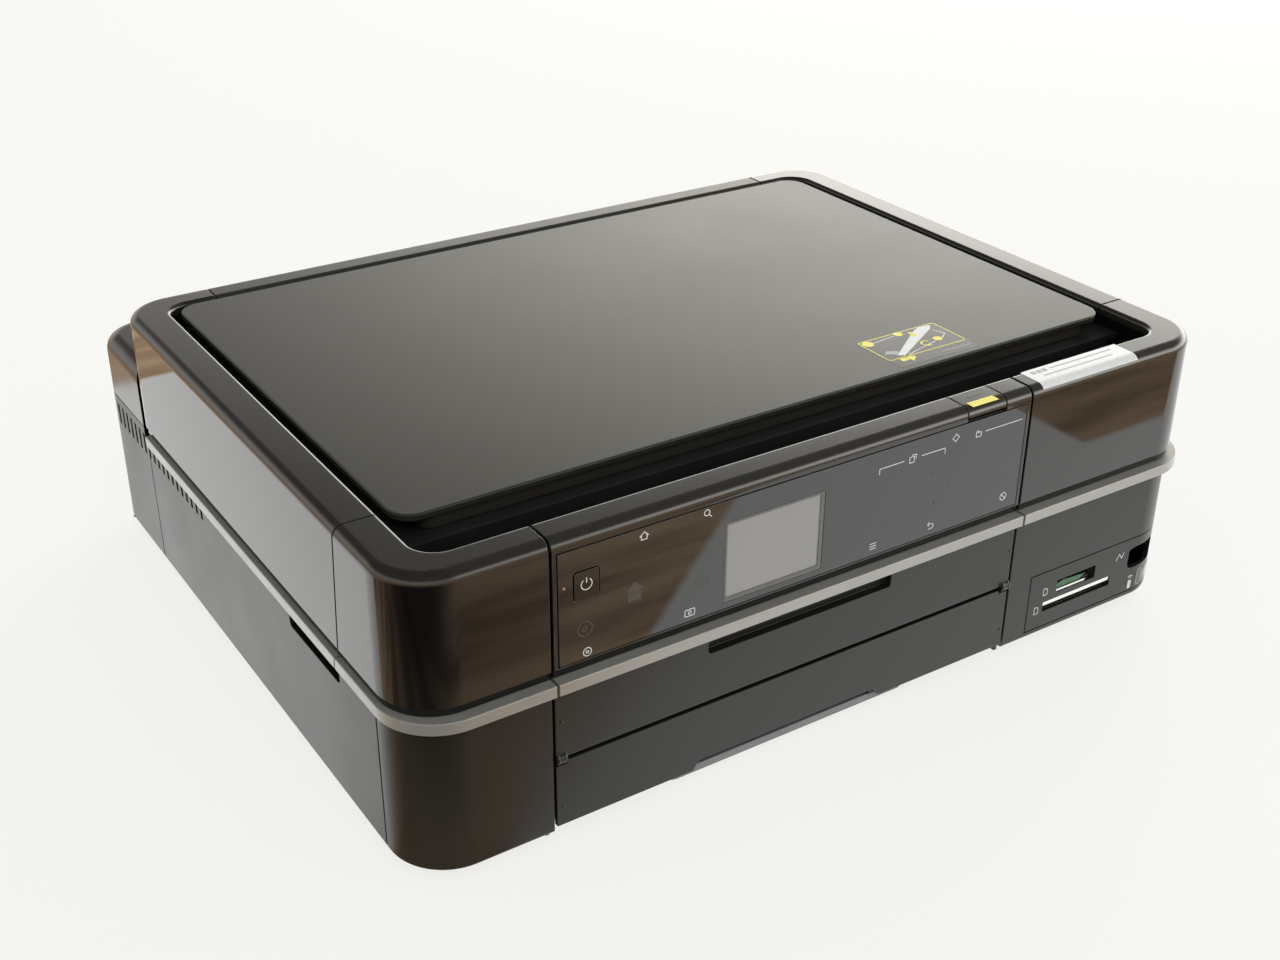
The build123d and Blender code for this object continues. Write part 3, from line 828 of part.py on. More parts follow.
# ---------------------------------------------------------------- scanner unit
BAND_X = OPEN_X - 27.4        # half-width of the document cover's hinge band
TUB_X, TUB_Y0, TUB_Y1, TUB_Z0 = OPEN_X - 6.6, OPEN_Y0 + 24.5, OPEN_Y1 - 7.4, BED_Z - 21.0
GLASS_X, GLASS_Y0, GLASS_Y1, GLASS_T = TUB_X - 42.0, TUB_Y0 + 29.0, TUB_Y1 - 7.0, 3.0
BED_T = 3.0
housing = upper_shell(BED_Z + 0.1) & behind_seam(SEAM / 2)
housing -= block(-BAND_X - 0.7, BAND_X + 0.7, OPEN_Y1 - 5, FAR, TUB_Z0 + 5.6, FAR)
for side in (-1, 1):
    x0, x1 = sorted((side * (HINGE_X + 0.7), side * (HINGE_X - EAR_T - 0.7)))
    housing -= block(x0, x1, OPEN_Y1 + 5, FAR, 0, HINGE_Z + EAR_R + 0.8)
keep("scanner_housing", housing)
side_strip = (STRIP & behind_seam(SEAM / 2)) & block(-FAR, FAR, -FAR, LEDGE_SEAM_Y - 4, 0, FAR)
keep("side_strips", *[side_strip & block(x0, x1, -FAR, FAR, 0, FAR) for x0, x1 in ((-FAR, 0), (0, FAR))])

bed = block(-OPEN_X + 0.2, OPEN_X - 0.2, TUB_Y0, TUB_Y1, BED_Z - BED_T, BED_Z)
bed += block(-TUB_X, TUB_X, TUB_Y0, TUB_Y1, TUB_Z0, BED_Z - 1)
bed -= block(-TUB_X + 2, TUB_X - 2, TUB_Y0 + 2, TUB_Y1 - 2, TUB_Z0 + 2, BED_Z - BED_T)
for side in (-1, 1):
    x0, x1 = sorted((side * (OPEN_X - 0.2), side * (UPPER_X - WALL - 0.1)))
    bed += block(x0, x1, SIDE_SEAM_Y + 2, TUB_Y1 - 12, BED_Z - 3, BED_Z - 0.1)
bed -= block(-GLASS_X + 4, GLASS_X - 4, GLASS_Y0 + 4, GLASS_Y1 - 4, TUB_Z0 + 3, FAR)
bed -= block(-GLASS_X - 0.1, GLASS_X + 0.1, GLASS_Y0 - 0.1, GLASS_Y1 + 0.1, BED_Z - GLASS_T + 0.8, FAR)
for side in (-1, 1):
    x0, x1 = sorted((side * (HINGE_X + 0.5), side * (HINGE_X + 5.5)))
    ear = block(x0, x1, TUB_Y1 - 1, HINGE_Y, HINGE_Z - 5, HINGE_Z + 5) + rod_x(x0, x1, HINGE_Y, HINGE_Z, 5.0)
    bed += ear - rod_x(x0 - 1, x1 + 1, HINGE_Y, HINGE_Z, HINGE_PIN_R + RUN)
LID_PIN_Y, LID_PIN_Z, LID_PIN_R = SCANNER_REAR_Y - 9.3, BED_Z - 2.0, 2.0
LID_ARM_X0, LID_ARM_X1 = BAND_X - 26.2, BAND_X - 10.2
for side in (-1, 1):
    x0, x1 = sorted((side * (LID_ARM_X1 + 0.5), side * (LID_ARM_X1 + 3.5)))
    bed += block(x0, x1, TUB_Y1 - 1, LID_PIN_Y, LID_PIN_Z - 5, LID_PIN_Z + 2)
    bed += rod_x(x0, x1, LID_PIN_Y, LID_PIN_Z, 4.5)
    p0, p1 = sorted((side * (LID_ARM_X1 + 2), side * (LID_ARM_X0 - 1)))
    bed += rod_x(p0, p1, LID_PIN_Y, LID_PIN_Z, LID_PIN_R)
rail_y = (GLASS_Y0 + GLASS_Y1) / 2
bed += block(-TUB_X + 2, TUB_X - 2, rail_y - 3, rail_y + 3, TUB_Z0 + 1, TUB_Z0 + 5)
keep("scanner_bed", bed)
keep("scanner_glass", block(-GLASS_X, GLASS_X, GLASS_Y0, GLASS_Y1, BED_Z - GLASS_T + 0.8, BED_Z))
BAR_X, BAR_W = -TUB_X + 17.0, 22.0
bar = block(BAR_X - BAR_W / 2, BAR_X + BAR_W / 2, GLASS_Y0 + 8, GLASS_Y1 - 8,
            TUB_Z0 + 3, BED_Z - BED_T - 1.5)
bar -= block(BAR_X - BAR_W, BAR_X + BAR_W, rail_y - 3.4, rail_y + 3.4, 0, TUB_Z0 + 5.4)
bar -= block(BAR_X - 3, BAR_X + 3, GLASS_Y0 + 12, GLASS_Y1 - 12, BED_Z - BED_T - 5, FAR)
keep("scan_bar", bar)

# ---------------------------------------------------------------- document cover
LID_X, LID_Y0, LID_Y1, LID_T, LID_R = OPEN_X - 4.6, OPEN_Y0 + 30.5, OPEN_Y1 - 2.3, 3.0, 11.0
SKIRT_X, SKIRT_Y0, SKIRT_Y1 = LID_X - 11.0, LID_Y0 + 1.6, LID_Y1 - 19.1
UNDER = LID_Z - LID_T
lid = tower(plan(LID_X, LID_Y0, LID_Y1, LID_R, LID_R), UNDER, LID_Z)
lid = fillet(lid.faces().sort_by(Axis.Z)[-1].edges(), 0.8)
lid += slab_z(-SKIRT_X, SKIRT_X, SKIRT_Y0, SKIRT_Y1, BED_Z + 0.4, UNDER + 0.5, 6) - slab_z(
    -SKIRT_X + 2, SKIRT_X - 2, SKIRT_Y0 + 2, SKIRT_Y1 - 2, 0, UNDER, 4)
undercut = [(LID_Y1 - 2.6, UNDER - 1), (LID_Y1 - 2.6, UNDER), (LID_Y1, UNDER + 2.0),
            (LID_Y1 + 3, UNDER + 2.0), (LID_Y1 + 3, UNDER - 1)]
lid -= prism_x(undercut, -FAR, FAR)
keep("document_cover", lid)
keep("cover_mat", slab_z(-GLASS_X, GLASS_X, GLASS_Y0 + 1, SKIRT_Y1 - 4, BED_Z + 0.4, UNDER, 3))
BAND_DROP = 8.0               # the band's rear wall ends this far below its axis
band = upper_shell(LID_PIN_Z - BAND_DROP)
band &= block(-BAND_X, BAND_X, OPEN_Y1, FAR, LID_PIN_Z - BAND_DROP, FAR)
band -= block(-FAR, FAR, OPEN_Y1 - 1, OPEN_Y1 + 3, 0, HEIGHT - RIM_T)
for side in (-1, 1):
    x0, x1 = sorted((side * LID_ARM_X0, side * LID_ARM_X1))
    arm_shape = [(SKIRT_Y1 + 1, UNDER), (SKIRT_Y1 + 1, BED_Z + 1), (LID_PIN_Y - 12, BED_Z + 1),
                 (LID_PIN_Y - 4, LID_PIN_Z), (LID_PIN_Y + 4, LID_PIN_Z),
                 (LID_PIN_Y + 4, HEIGHT - RIM_T + 0.5), (OPEN_Y1 + 1.5, HEIGHT - RIM_T + 0.5),
                 (OPEN_Y1 + 0.5, UNDER - 1.5), (LID_Y1 - 3, UNDER - 1.5), (LID_Y1 - 3, UNDER)]
    link = prism_x(arm_shape, x0, x1) + rod_x(x0, x1, LID_PIN_Y, LID_PIN_Z, 4.5)
    band += link - rod_x(x0 - 1, x1 + 1, LID_PIN_Y, LID_PIN_Z, LID_PIN_R + RUN)
keep("cover_hinge_band", band)

# ---------------------------------------------------------------- write every node
os.makedirs("parts", exist_ok=True)
for node, shape in NODES.items():
    export_step(shape, f"parts/{node}.step")
print(len(NODES), "nodes")
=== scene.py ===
# %% [markdown]
# # A black desktop printer that also prints discs
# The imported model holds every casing, roller and gear at its real size. This script gives
# each of them its surface: piano-black gloss, satin lid, spark-textured body, silver strip.
# It starts by loading that model, and it never moves or resizes any of it.

# %% Load the model
import json
from math import cos, pi, radians, sin

import bmesh
import bpy
import numpy as np
from mathutils import Matrix, Vector


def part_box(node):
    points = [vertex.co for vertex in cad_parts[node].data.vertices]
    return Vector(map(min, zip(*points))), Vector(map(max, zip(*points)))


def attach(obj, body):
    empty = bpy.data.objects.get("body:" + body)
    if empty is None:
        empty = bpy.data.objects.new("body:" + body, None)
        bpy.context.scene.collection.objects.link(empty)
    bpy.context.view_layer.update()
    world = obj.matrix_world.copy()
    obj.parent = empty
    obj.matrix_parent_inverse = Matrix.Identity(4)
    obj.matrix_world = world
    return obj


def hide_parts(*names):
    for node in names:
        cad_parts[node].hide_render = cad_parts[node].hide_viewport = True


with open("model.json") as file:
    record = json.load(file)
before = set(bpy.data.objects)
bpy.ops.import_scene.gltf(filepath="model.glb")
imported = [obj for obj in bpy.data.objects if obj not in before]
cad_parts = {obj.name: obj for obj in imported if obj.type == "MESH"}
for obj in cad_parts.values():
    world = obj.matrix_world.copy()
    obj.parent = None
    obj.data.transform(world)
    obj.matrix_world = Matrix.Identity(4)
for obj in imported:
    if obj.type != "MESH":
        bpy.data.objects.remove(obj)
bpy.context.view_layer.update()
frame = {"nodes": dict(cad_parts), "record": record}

MM = 0.001
scene = bpy.context.scene

# %% [markdown]
# ## The camera
# A product picture like this is taken a little from the left and from above. The camera is
# described the way a photographer would: where it stands, which way it faces, and how far it
# tips, rather than by a matrix typed in.

# %% Camera
STANCE = Vector((-0.4234, -0.6600, 0.4686))
HEADING = radians(33.195)
TIP_DOWN = radians(28.294)
TILT = radians(0.3207)
LENS = 46.253

facing = Vector((sin(HEADING) * cos(TIP_DOWN), cos(HEADING) * cos(TIP_DOWN), -sin(TIP_DOWN)))
level_right = facing.cross(Vector((0, 0, 1))).normalized()
level_up = level_right.cross(facing)
right = level_right * cos(TILT) + level_up * sin(TILT)
up = right.cross(facing)
lens_data = bpy.data.cameras.new("portrait_camera")
lens_data.lens = LENS
lens_data.clip_start = 0.01
camera = bpy.data.objects.new("portrait_camera", lens_data)
camera.matrix_world = Matrix((
    (right.x, up.x, -facing.x, STANCE.x),
    (right.y, up.y, -facing.y, STANCE.y),
    (right.z, up.z, -facing.z, STANCE.z),
    (0, 0, 0, 1)))
scene.collection.objects.link(camera)
scene.camera = camera
print("camera faces", tuple(round(c, 3) for c in facing))

# %% [markdown]
# ## The studio
# Black gloss has almost no colour of its own: what it shows is the room. So the studio matters
# as much as the paint. Two wide lamps and an even sky light the object. Mirror rays see more:
# the white cloth under the printer glows as an overexposed cloth does in a photograph, and
# brown boards lie beyond its edges, so the gloss shows a crisp line where cloth meets board.
# Overhead the mirrored sky fades from a bright band low behind the printer to a dim ceiling.

# %% Floor, sky and lamp
FLOOR_SIZE = 14.0
FLOOR_COLOUR = (0.90, 0.90, 0.885, 1)
SKY_COLOUR = (0.93, 0.94, 0.95, 1)
MIRRORED_SKY_COLOUR = (1.0, 0.98, 0.91, 1)
SKY_LEVEL = 0.62
BACKDROP = (0.975, 0.965, 0.935, 1)
CLOTH_GLOW = 1.5
CLOTH_COLOUR = (0.97, 0.97, 0.95, 1)
BOARD_DARK, BOARD_LIGHT = (0.34, 0.22, 0.13), (0.82, 0.58, 0.38)
CLOTH_NORMAL, CLOTH_EDGE = (0.608, 0.794, 0.0), -0.260
CLOTH_BACK = 0.37
CORNER_BOARDS = (0.315, -0.335)      # right of this X and nearer than this Y the cloth is cut off
EDGE_SOFT = 0.003
SHADE_SPOT = (-0.46, -0.44, 0.0)
SHADE_REACH = (0.16, 0.50)
SHADE_LEAST = 0.03
TABLE_WHITE = 0.985
TABLE_WHITE_SHARE = 0.84


def link(material, source, target):
    material.node_tree.links.new(source, target)


def stepped(nodes, material, value, start, stop, low=0.0, high=1.0):
    """A smooth step: `low` up to `start`, `high` from `stop` on, an S curve between."""
    ramp = nodes.new("ShaderNodeMapRange")
    ramp.interpolation_type = "SMOOTHSTEP"
    ramp.inputs["From Min"].default_value, ramp.inputs["From Max"].default_value = start, stop
    ramp.inputs["To Min"].default_value, ramp.inputs["To Max"].default_value = low, high
    link(material, value, ramp.inputs["Value"])
    return ramp.outputs["Result"]


def soft_edge(nodes, material, value, place, low=0.0, high=1.0):
    """A step so narrow that it reads as a crisp line."""
    return stepped(nodes, material, value, place - EDGE_SOFT, place + EDGE_SOFT, low, high)


def vector_step(nodes, material, kind, point, other):
    """DOT_PRODUCT or DISTANCE of a point socket and a fixed vector."""
    node = nodes.new("ShaderNodeVectorMath")
    node.operation = kind
    link(material, point, node.inputs[0])
    node.inputs[1].default_value = other
    return node.outputs["Value"]


def product(nodes, material, first, second):
    node = nodes.new("ShaderNodeMath")
    node.operation = "MULTIPLY"
    link(material, first, node.inputs[0])
    if isinstance(second, float):
        node.inputs[1].default_value = second
    else:
        link(material, second, node.inputs[1])
    return node.outputs["Value"]


def mirrored_table(material, nodes):
    """What mirror rays see on the table: cloth inside its front and back edges, boards
    beyond, both dim round the spot where the photographer stands."""
    place = nodes.new("ShaderNodeTexCoord").outputs["Object"]
    front = vector_step(nodes, material, "DOT_PRODUCT", place, CLOTH_NORMAL)
    back = vector_step(nodes, material, "DOT_PRODUCT", place, (0, 1, 0))
    cloth = product(nodes, material, soft_edge(nodes, material, front, CLOTH_EDGE),
                    soft_edge(nodes, material, back, CLOTH_BACK, 1, 0))
    across = vector_step(nodes, material, "DOT_PRODUCT", place, (1, 0, 0))
    missing = product(nodes, material, soft_edge(nodes, material, across, CORNER_BOARDS[0]),
                      soft_edge(nodes, material, back, CORNER_BOARDS[1], 1, 0))
    cloth = product(nodes, material, cloth, stepped(nodes, material, missing, 0.0, 1.0, 1, 0))
    grain = nodes.new("ShaderNodeTexNoise")
    grain.inputs["Scale"].default_value = 9.0
    grain.inputs["Detail"].default_value = 3.0
    stretch = nodes.new("ShaderNodeMapping")
    stretch.inputs["Scale"].default_value = (0.4, 3.0, 1.0)
    link(material, place, stretch.inputs["Vector"])
    link(material, stretch.outputs["Vector"], grain.inputs["Vector"])
    boards = nodes.new("ShaderNodeMix")
    boards.data_type = "RGBA"
    boards.inputs["A"].default_value = (*BOARD_DARK, 1)
    boards.inputs["B"].default_value = (*BOARD_LIGHT, 1)
    link(material, stepped(nodes, material, grain.outputs["Fac"], 0.35, 0.65),
         boards.inputs["Factor"])
    lit = nodes.new("ShaderNodeMix")
    lit.data_type = "RGBA"
    lit.inputs["B"].default_value = CLOTH_COLOUR
    link(material, cloth, lit.inputs["Factor"])
    link(material, boards.outputs["Result"], lit.inputs["A"])
    away = vector_step(nodes, material, "DISTANCE", place, SHADE_SPOT)
    shade = stepped(nodes, material, away, *SHADE_REACH, SHADE_LEAST, 1.0)
    glow = nodes.new("ShaderNodeEmission")
    link(material, lit.outputs["Result"], glow.inputs["Color"])
    link(material, product(nodes, material, shade, CLOTH_GLOW), glow.inputs["Strength"])
    return glow


def table_finish():
    """Pale table. The eye sees mostly an even white, with some of the lamps' own shading kept
    so that the printer stands in its shadow; mirror rays see the cloth and the boards."""
    material = bpy.data.materials.new("pale_table")
    material.use_nodes = True
    nodes = material.node_tree.nodes
    shader = nodes["Principled BSDF"]
    shader.inputs["Base Color"].default_value = FLOOR_COLOUR
    shader.inputs["Roughness"].default_value = 0.75
    shader.inputs["Specular IOR Level"].default_value = 0.1
    white = nodes.new("ShaderNodeEmission")
    white.inputs["Color"].default_value = BACKDROP
    white.inputs["Strength"].default_value = TABLE_WHITE
    path = nodes.new("ShaderNodeLightPath")
    seen = nodes.new("ShaderNodeMixShader")
    mirrored = nodes.new("ShaderNodeMixShader")
    link(material, product(nodes, material, path.outputs["Is Camera Ray"], TABLE_WHITE_SHARE),
         seen.inputs["Fac"])
    link(material, shader.outputs["BSDF"], seen.inputs[1])
    link(material, white.outputs["Emission"], seen.inputs[2])
    link(material, path.outputs["Is Glossy Ray"], mirrored.inputs["Fac"])
    link(material, seen.outputs["Shader"], mirrored.inputs[1])
    link(material, mirrored_table(material, nodes).outputs["Emission"], mirrored.inputs[2])
    link(material, mirrored.outputs["Shader"], nodes["Material Output"].inputs["Surface"])
    return material


def flat_square(name, size, height):
    """A square sheet of the given side, centred under the printer."""
    half = size / 2
    mesh = bpy.data.meshes.new(name)
    mesh.from_pydata([(-half, -half, height), (half, -half, height),
                      (half, half, height), (-half, half, height)], [], [(0, 1, 2, 3)])
    sheet = bpy.data.objects.new(name, mesh)
    scene.collection.objects.link(sheet)
    return sheet


floor = flat_square("pale_table", FLOOR_SIZE, 0.0)
floor.data.materials.append(table_finish())

world = bpy.data.worlds.new("studio_sky")
world.use_nodes = True
sky = world.node_tree.nodes
even_sky = sky["Background"]
even_sky.inputs["Color"].default_value = SKY_COLOUR
even_sky.inputs["Strength"].default_value = SKY_LEVEL
mirrored_sky = sky.new("ShaderNodeBackground")
mirrored_sky.inputs["Color"].default_value = MIRRORED_SKY_COLOUR
SKY_BAND, SKY_CEILING = 4.6, 0.30
BAND_LOW, BAND_HIGH = 0.27, 0.48          # sine of the height where the band starts to fade
LEFT_DIM, LEFT_X, RIGHT_X = 0.24, 0.20, 0.66
direction = sky.new("ShaderNodeTexCoord").outputs["Generated"]
height = vector_step(sky, world, "DOT_PRODUCT", direction, (0, 0, 1))
rightward = vector_step(sky, world, "DOT_PRODUCT", direction, (1, 0, 0))
band = stepped(sky, world, height, BAND_LOW, BAND_HIGH, SKY_BAND, SKY_CEILING)
sideways = stepped(sky, world, rightward, LEFT_X, RIGHT_X, LEFT_DIM, 1.0)
link(world, product(sky, world, band, sideways), mirrored_sky.inputs["Strength"])
ray = sky.new("ShaderNodeLightPath")
either = sky.new("ShaderNodeMixShader")
link(world, ray.outputs["Is Glossy Ray"], either.inputs["Fac"])
link(world, even_sky.outputs["Background"], either.inputs[1])
link(world, mirrored_sky.outputs["Background"], either.inputs[2])
link(world, either.outputs["Shader"], sky["World Output"].inputs["Surface"])
scene.world = world


def softbox(name, place, target, width, height, power):
    """A wide rectangular lamp that looks at a point, seen in no mirror."""
    light = bpy.data.lights.new(name, "AREA")
    light.shape = "RECTANGLE"
    light.size, light.size_y, light.energy = width, height, power
    lamp = bpy.data.objects.new(name, light)
    lamp.location = place
    lamp.rotation_euler = (Vector(target) - Vector(place)).to_track_quat("-Z", "Y").to_euler()
    lamp.visible_glossy = False
    scene.collection.objects.link(lamp)
    return lamp


softbox("window", (2.3, 1.7, 1.15), (0, 0, 0.12), 1.8, 1.3, 60)
softbox("front_fill", (-0.6, -1.9, 2.2), (0, 0, 0.05), 1.8, 1.4, 22)
scene.view_settings.view_transform = "Standard"
print("studio: floor", FLOOR_SIZE, "m, sky", SKY_LEVEL)

# %% [markdown]
# ## Finishes
# Every plastic here is one recipe with different numbers: a base colour that drifts slightly
# across the moulding, a roughness that is never quite even, and a fine bump for the texture
# that was etched into the mould. All of it is noise in object coordinates, so it needs no
# picture and no UV map, and it stays put when a lid opens.


# %% Building blocks for finishes
def new_finish(name):
    material = bpy.data.materials.new(name)
    material.use_nodes = True
    return material, material.node_tree.nodes["Principled BSDF"]


def noise(material, blob, detail=2.0, stretch=(1, 1, 1)):
    """Cloudy noise with blobs about `blob` metres wide, stretched along the axes."""
    nodes = material.node_tree.nodes
    place = nodes.new("ShaderNodeTexCoord")
    mapping = nodes.new("ShaderNodeMapping")
    mapping.inputs["Scale"].default_value = stretch
    cloud = nodes.new("ShaderNodeTexNoise")
    cloud.inputs["Scale"].default_value = 1 / blob
    cloud.inputs["Detail"].default_value = detail
    link(material, place.outputs["Object"], mapping.inputs["Vector"])
    link(material, mapping.outputs["Vector"], cloud.inputs["Vector"])
    return cloud.outputs["Fac"]


def ranged(material, value, low, high, start=0.3, stop=0.7):
    """Carries a value from start..stop to low..high, clamped at both ends."""
    ramp = material.node_tree.nodes.new("ShaderNodeMapRange")
    ramp.inputs["From Min"].default_value = start
    ramp.inputs["From Max"].default_value = stop
    ramp.inputs["To Min"].default_value = low
    ramp.inputs["To Max"].default_value = high
    link(material, value, ramp.inputs["Value"])
    return ramp.outputs["Result"]


def blended(material, factor, first, second):
    """A colour between two, each a tuple or a socket."""
    mix = material.node_tree.nodes.new("ShaderNodeMix")
    mix.data_type = "RGBA"
    link(material, factor, mix.inputs["Factor"])
    for socket, colour in ((mix.inputs["A"], first), (mix.inputs["B"], second)):
        if isinstance(colour, tuple):
            socket.default_value = (*colour, 1)
        else:
            link(material, colour, socket)
    return mix.outputs["Result"]


def embossed(material, shader, height, strength, depth):
    """Bump from a height socket, `depth` metres from lowest to highest."""
    bump = material.node_tree.nodes.new("ShaderNodeBump")
    bump.inputs["Strength"].default_value = strength
    bump.inputs["Distance"].default_value = depth
    link(material, height, bump.inputs["Height"])
    link(material, bump.outputs["Normal"], shader.inputs["Normal"])


def moulded(name, dark, light, rough, cloud=0.05, grain=0.0006, strength=0.25, depth=0.00005):
    """The plastic recipe: colour drifts dark..light over `cloud`, roughness over half of it,
    and a mould texture of `grain` metres stands `depth` high."""
    material, shader = new_finish(name)
    drift = noise(material, cloud, 3.0)
    link(material, blended(material, drift, dark, light), shader.inputs["Base Color"])
    patch = noise(material, cloud / 2, 4.0)
    link(material, ranged(material, patch, rough[0], rough[1]), shader.inputs["Roughness"])
    embossed(material, shader, noise(material, grain, 2.0), strength, depth)
    return material, shader


# %% Plastics that show
CASING_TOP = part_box("front_left_casing")[1][2]
RIM_START = (CASING_TOP - 5.0 * MM, CASING_TOP - 4.4 * MM)
DUST = (0.16, 0.15, 0.14)


def dusted(material, shader, tint=DUST, start=0.80):
    """Sparse specks of dust over whatever colour the shader has."""
    dust = ranged(material, noise(material, 0.0011, 1.0), 0.0, 1.0, start, start + 0.06)
    base = shader.inputs["Base Color"].links[0].from_socket
    link(material, blended(material, dust, base, tint), shader.inputs["Base Color"])


def gloss_black():
    """Piano black on the walls, a mirror with faint smudges; above the line where the rim
    starts to roll over, the same moulding is a satin brown-black. Height decides which."""
    material, shader = moulded("gloss_black", (0.0035, 0.0033, 0.0032), (0.006, 0.0055, 0.005),
                               (0.03, 0.06), 0.09, 0.004, 0.03, 0.00002)
    place = material.node_tree.nodes.new("ShaderNodeSeparateXYZ")
    link(material, material.node_tree.nodes.new("ShaderNodeTexCoord").outputs["Object"],
         place.inputs["Vector"])
    rim = ranged(material, place.outputs["Z"], 0.0, 1.0, *RIM_START)
    wall = shader.inputs["Base Color"].links[0].from_socket
    link(material, blended(material, rim, wall, (0.020, 0.018, 0.015)), shader.inputs["Base Color"])
    smooth = shader.inputs["Roughness"].links[0].from_socket
    rough = material.node_tree.nodes.new("ShaderNodeMix")
    link(material, rim, rough.inputs["Factor"])
    link(material, smooth, rough.inputs["A"])
    rough.inputs["B"].default_value = 0.20
    link(material, rough.outputs["Result"], shader.inputs["Roughness"])
    dusted(material, shader)
    shader.inputs["Specular IOR Level"].default_value = 0.62
    return material


def rim_brown():
    """The rear cover: satin brown-black, a shade warmer than the walls."""
    material, shader = moulded("rim_brown", (0.012, 0.0105, 0.009), (0.017, 0.0145, 0.012),
                               (0.17, 0.23), 0.07, 0.0009, 0.05, 0.00003)
    dusted(material, shader, DUST, 0.82)
    shader.inputs["Specular IOR Level"].default_value = 0.6
    return material


def lid_grey():
    """The lid: satin, warm dark grey, with a spark texture fine enough to feel smooth."""
    material, shader = moulded("lid_grey", (0.024, 0.022, 0.016), (0.029, 0.027, 0.020),
                               (0.31, 0.34), 0.12, 0.00055, 0.30, 0.00004)
    shader.inputs["Specular IOR Level"].default_value = 0.42
    return material


def textured_black():
    """The lower body: fine spark texture that greys the black a little."""
    material, shader = moulded("textured_black", (0.0095, 0.0098, 0.0080), (0.0135, 0.0138, 0.0115),
                               (0.31, 0.36), 0.09, 0.0005, 0.30, 0.00004)
    shader.inputs["Specular IOR Level"].default_value = 0.38
    return material


def silver_strip():
    """The belt line: silver paint with fine flake, satin clear over it."""
    material, shader = moulded("silver_strip", (0.30, 0.295, 0.27), (0.36, 0.355, 0.33),
                               (0.30, 0.40), 0.03, 0.0003, 0.15, 0.00002)
    shader.inputs["Metallic"].default_value = 0.4
    shader.inputs["Coat Weight"].default_value = 0.35
    shader.inputs["Coat Roughness"].default_value = 0.2
    return material


def inner_black():
    """Ribs, trays and decks inside: plain moulded black, matt."""
    return moulded("inner_black", (0.008, 0.008, 0.008), (0.014, 0.014, 0.014),
                   (0.50, 0.62), 0.04, 0.0008, 0.2, 0.00004)[0]


def grey_plastic():
    """Moving guides: mid-grey moulded plastic, so that a hand finds them."""
    return moulded("grey_plastic", (0.20, 0.20, 0.20), (0.25, 0.25, 0.245),
                   (0.40, 0.52), 0.03, 0.0007, 0.2, 0.00004)[0]


def glass_smoke():
    """The touch sheet: clear gloss over black print."""
    material, shader = moulded("touch_face", (0.0045, 0.0045, 0.005), (0.007, 0.007, 0.0075),
                               (0.012, 0.03), 0.12, 0.003, 0.015, 0.00001)
    dusted(material, shader, (0.15, 0.15, 0.15))
    shader.inputs["Specular IOR Level"].default_value = 0.75
    return material


def display_face():
    """The display, unlit: a pale grey layer deep under a soft anti-glare face."""
    return moulded("display_face", (0.30, 0.29, 0.275), (0.345, 0.335, 0.32),
                   (0.22, 0.34), 0.04, 0.0004, 0.08, 0.00002)[0]


# %% Metals, rubber, glass and the rest
def brushed(name, dark, light, rough, along):
    """Bare metal with fine scratches drawn out along one axis."""
    material, shader = new_finish(name)
    stretch = tuple(0.04 if axis == along else 1.0 for axis in "xyz")
    lines = noise(material, 0.0006, 3.0, stretch)
    link(material, blended(material, lines, dark, light), shader.inputs["Base Color"])
    link(material, ranged(material, lines, rough[0], rough[1]), shader.inputs["Roughness"])
    shader.inputs["Metallic"].default_value = 1.0
    embossed(material, shader, lines, 0.08, 0.00002)
    return material


def zinc_steel():
    """Pressed chassis steel: zinc, with a faint spangle."""
    material, shader = new_finish("zinc_steel")
    spangle = material.node_tree.nodes.new("ShaderNodeTexVoronoi")
    spangle.inputs["Scale"].default_value = 180.0
    place = material.node_tree.nodes.new("ShaderNodeTexCoord")
    link(material, place.outputs["Object"], spangle.inputs["Vector"])
    value = ranged(material, spangle.outputs["Distance"], 0.0, 1.0, 0.0, 1.0)
    link(material, blended(material, value, (0.52, 0.53, 0.55), (0.66, 0.67, 0.69)),
         shader.inputs["Base Color"])
    link(material, ranged(material, noise(material, 0.012), 0.30, 0.46), shader.inputs["Roughness"])
    shader.inputs["Metallic"].default_value = 1.0
    return material


def rubber(name, level):
    """Grey-black rubber with the dull skin of a ground roller."""
    return moulded(name, (level, level, level), (level * 1.5,) * 3,
                   (0.72, 0.86), 0.01, 0.0003, 0.4, 0.00005)[0]


def clear_glass():
    """Float glass of the scanner: clear, a little green at depth."""
    material, shader = new_finish("clear_glass")
    haze = noise(material, 0.05, 4.0)
    link(material, ranged(material, haze, 0.015, 0.05), shader.inputs["Roughness"])
    shader.inputs["Base Color"].default_value = (0.93, 0.97, 0.95, 1)
    shader.inputs["Transmission Weight"].default_value = 1.0
    shader.inputs["IOR"].default_value = 1.52
    return material


def white_mat():
    """The sheet under the lid that presses paper flat: white film over foam."""
    return moulded("white_mat", (0.72, 0.72, 0.70), (0.80, 0.80, 0.78),
                   (0.45, 0.6), 0.05, 0.001, 0.1, 0.00005)[0]


def circuit_green():
    """Circuit board: green lacquer with a grid of darker copper runs under it."""
    material, shader = new_finish("circuit_green")
    runs = material.node_tree.nodes.new("ShaderNodeTexBrick")
    runs.inputs["Scale"].default_value = 90.0
    runs.inputs["Color1"].default_value = (0.012, 0.10, 0.035, 1)
    runs.inputs["Color2"].default_value = (0.018, 0.13, 0.045, 1)
    runs.inputs["Mortar"].default_value = (0.03, 0.19, 0.07, 1)
    place = material.node_tree.nodes.new("ShaderNodeTexCoord")
    link(material, place.outputs["Object"], runs.inputs["Vector"])
    link(material, runs.outputs["Color"], shader.inputs["Base Color"])
    link(material, ranged(material, noise(material, 0.01), 0.25, 0.4), shader.inputs["Roughness"])
    return material


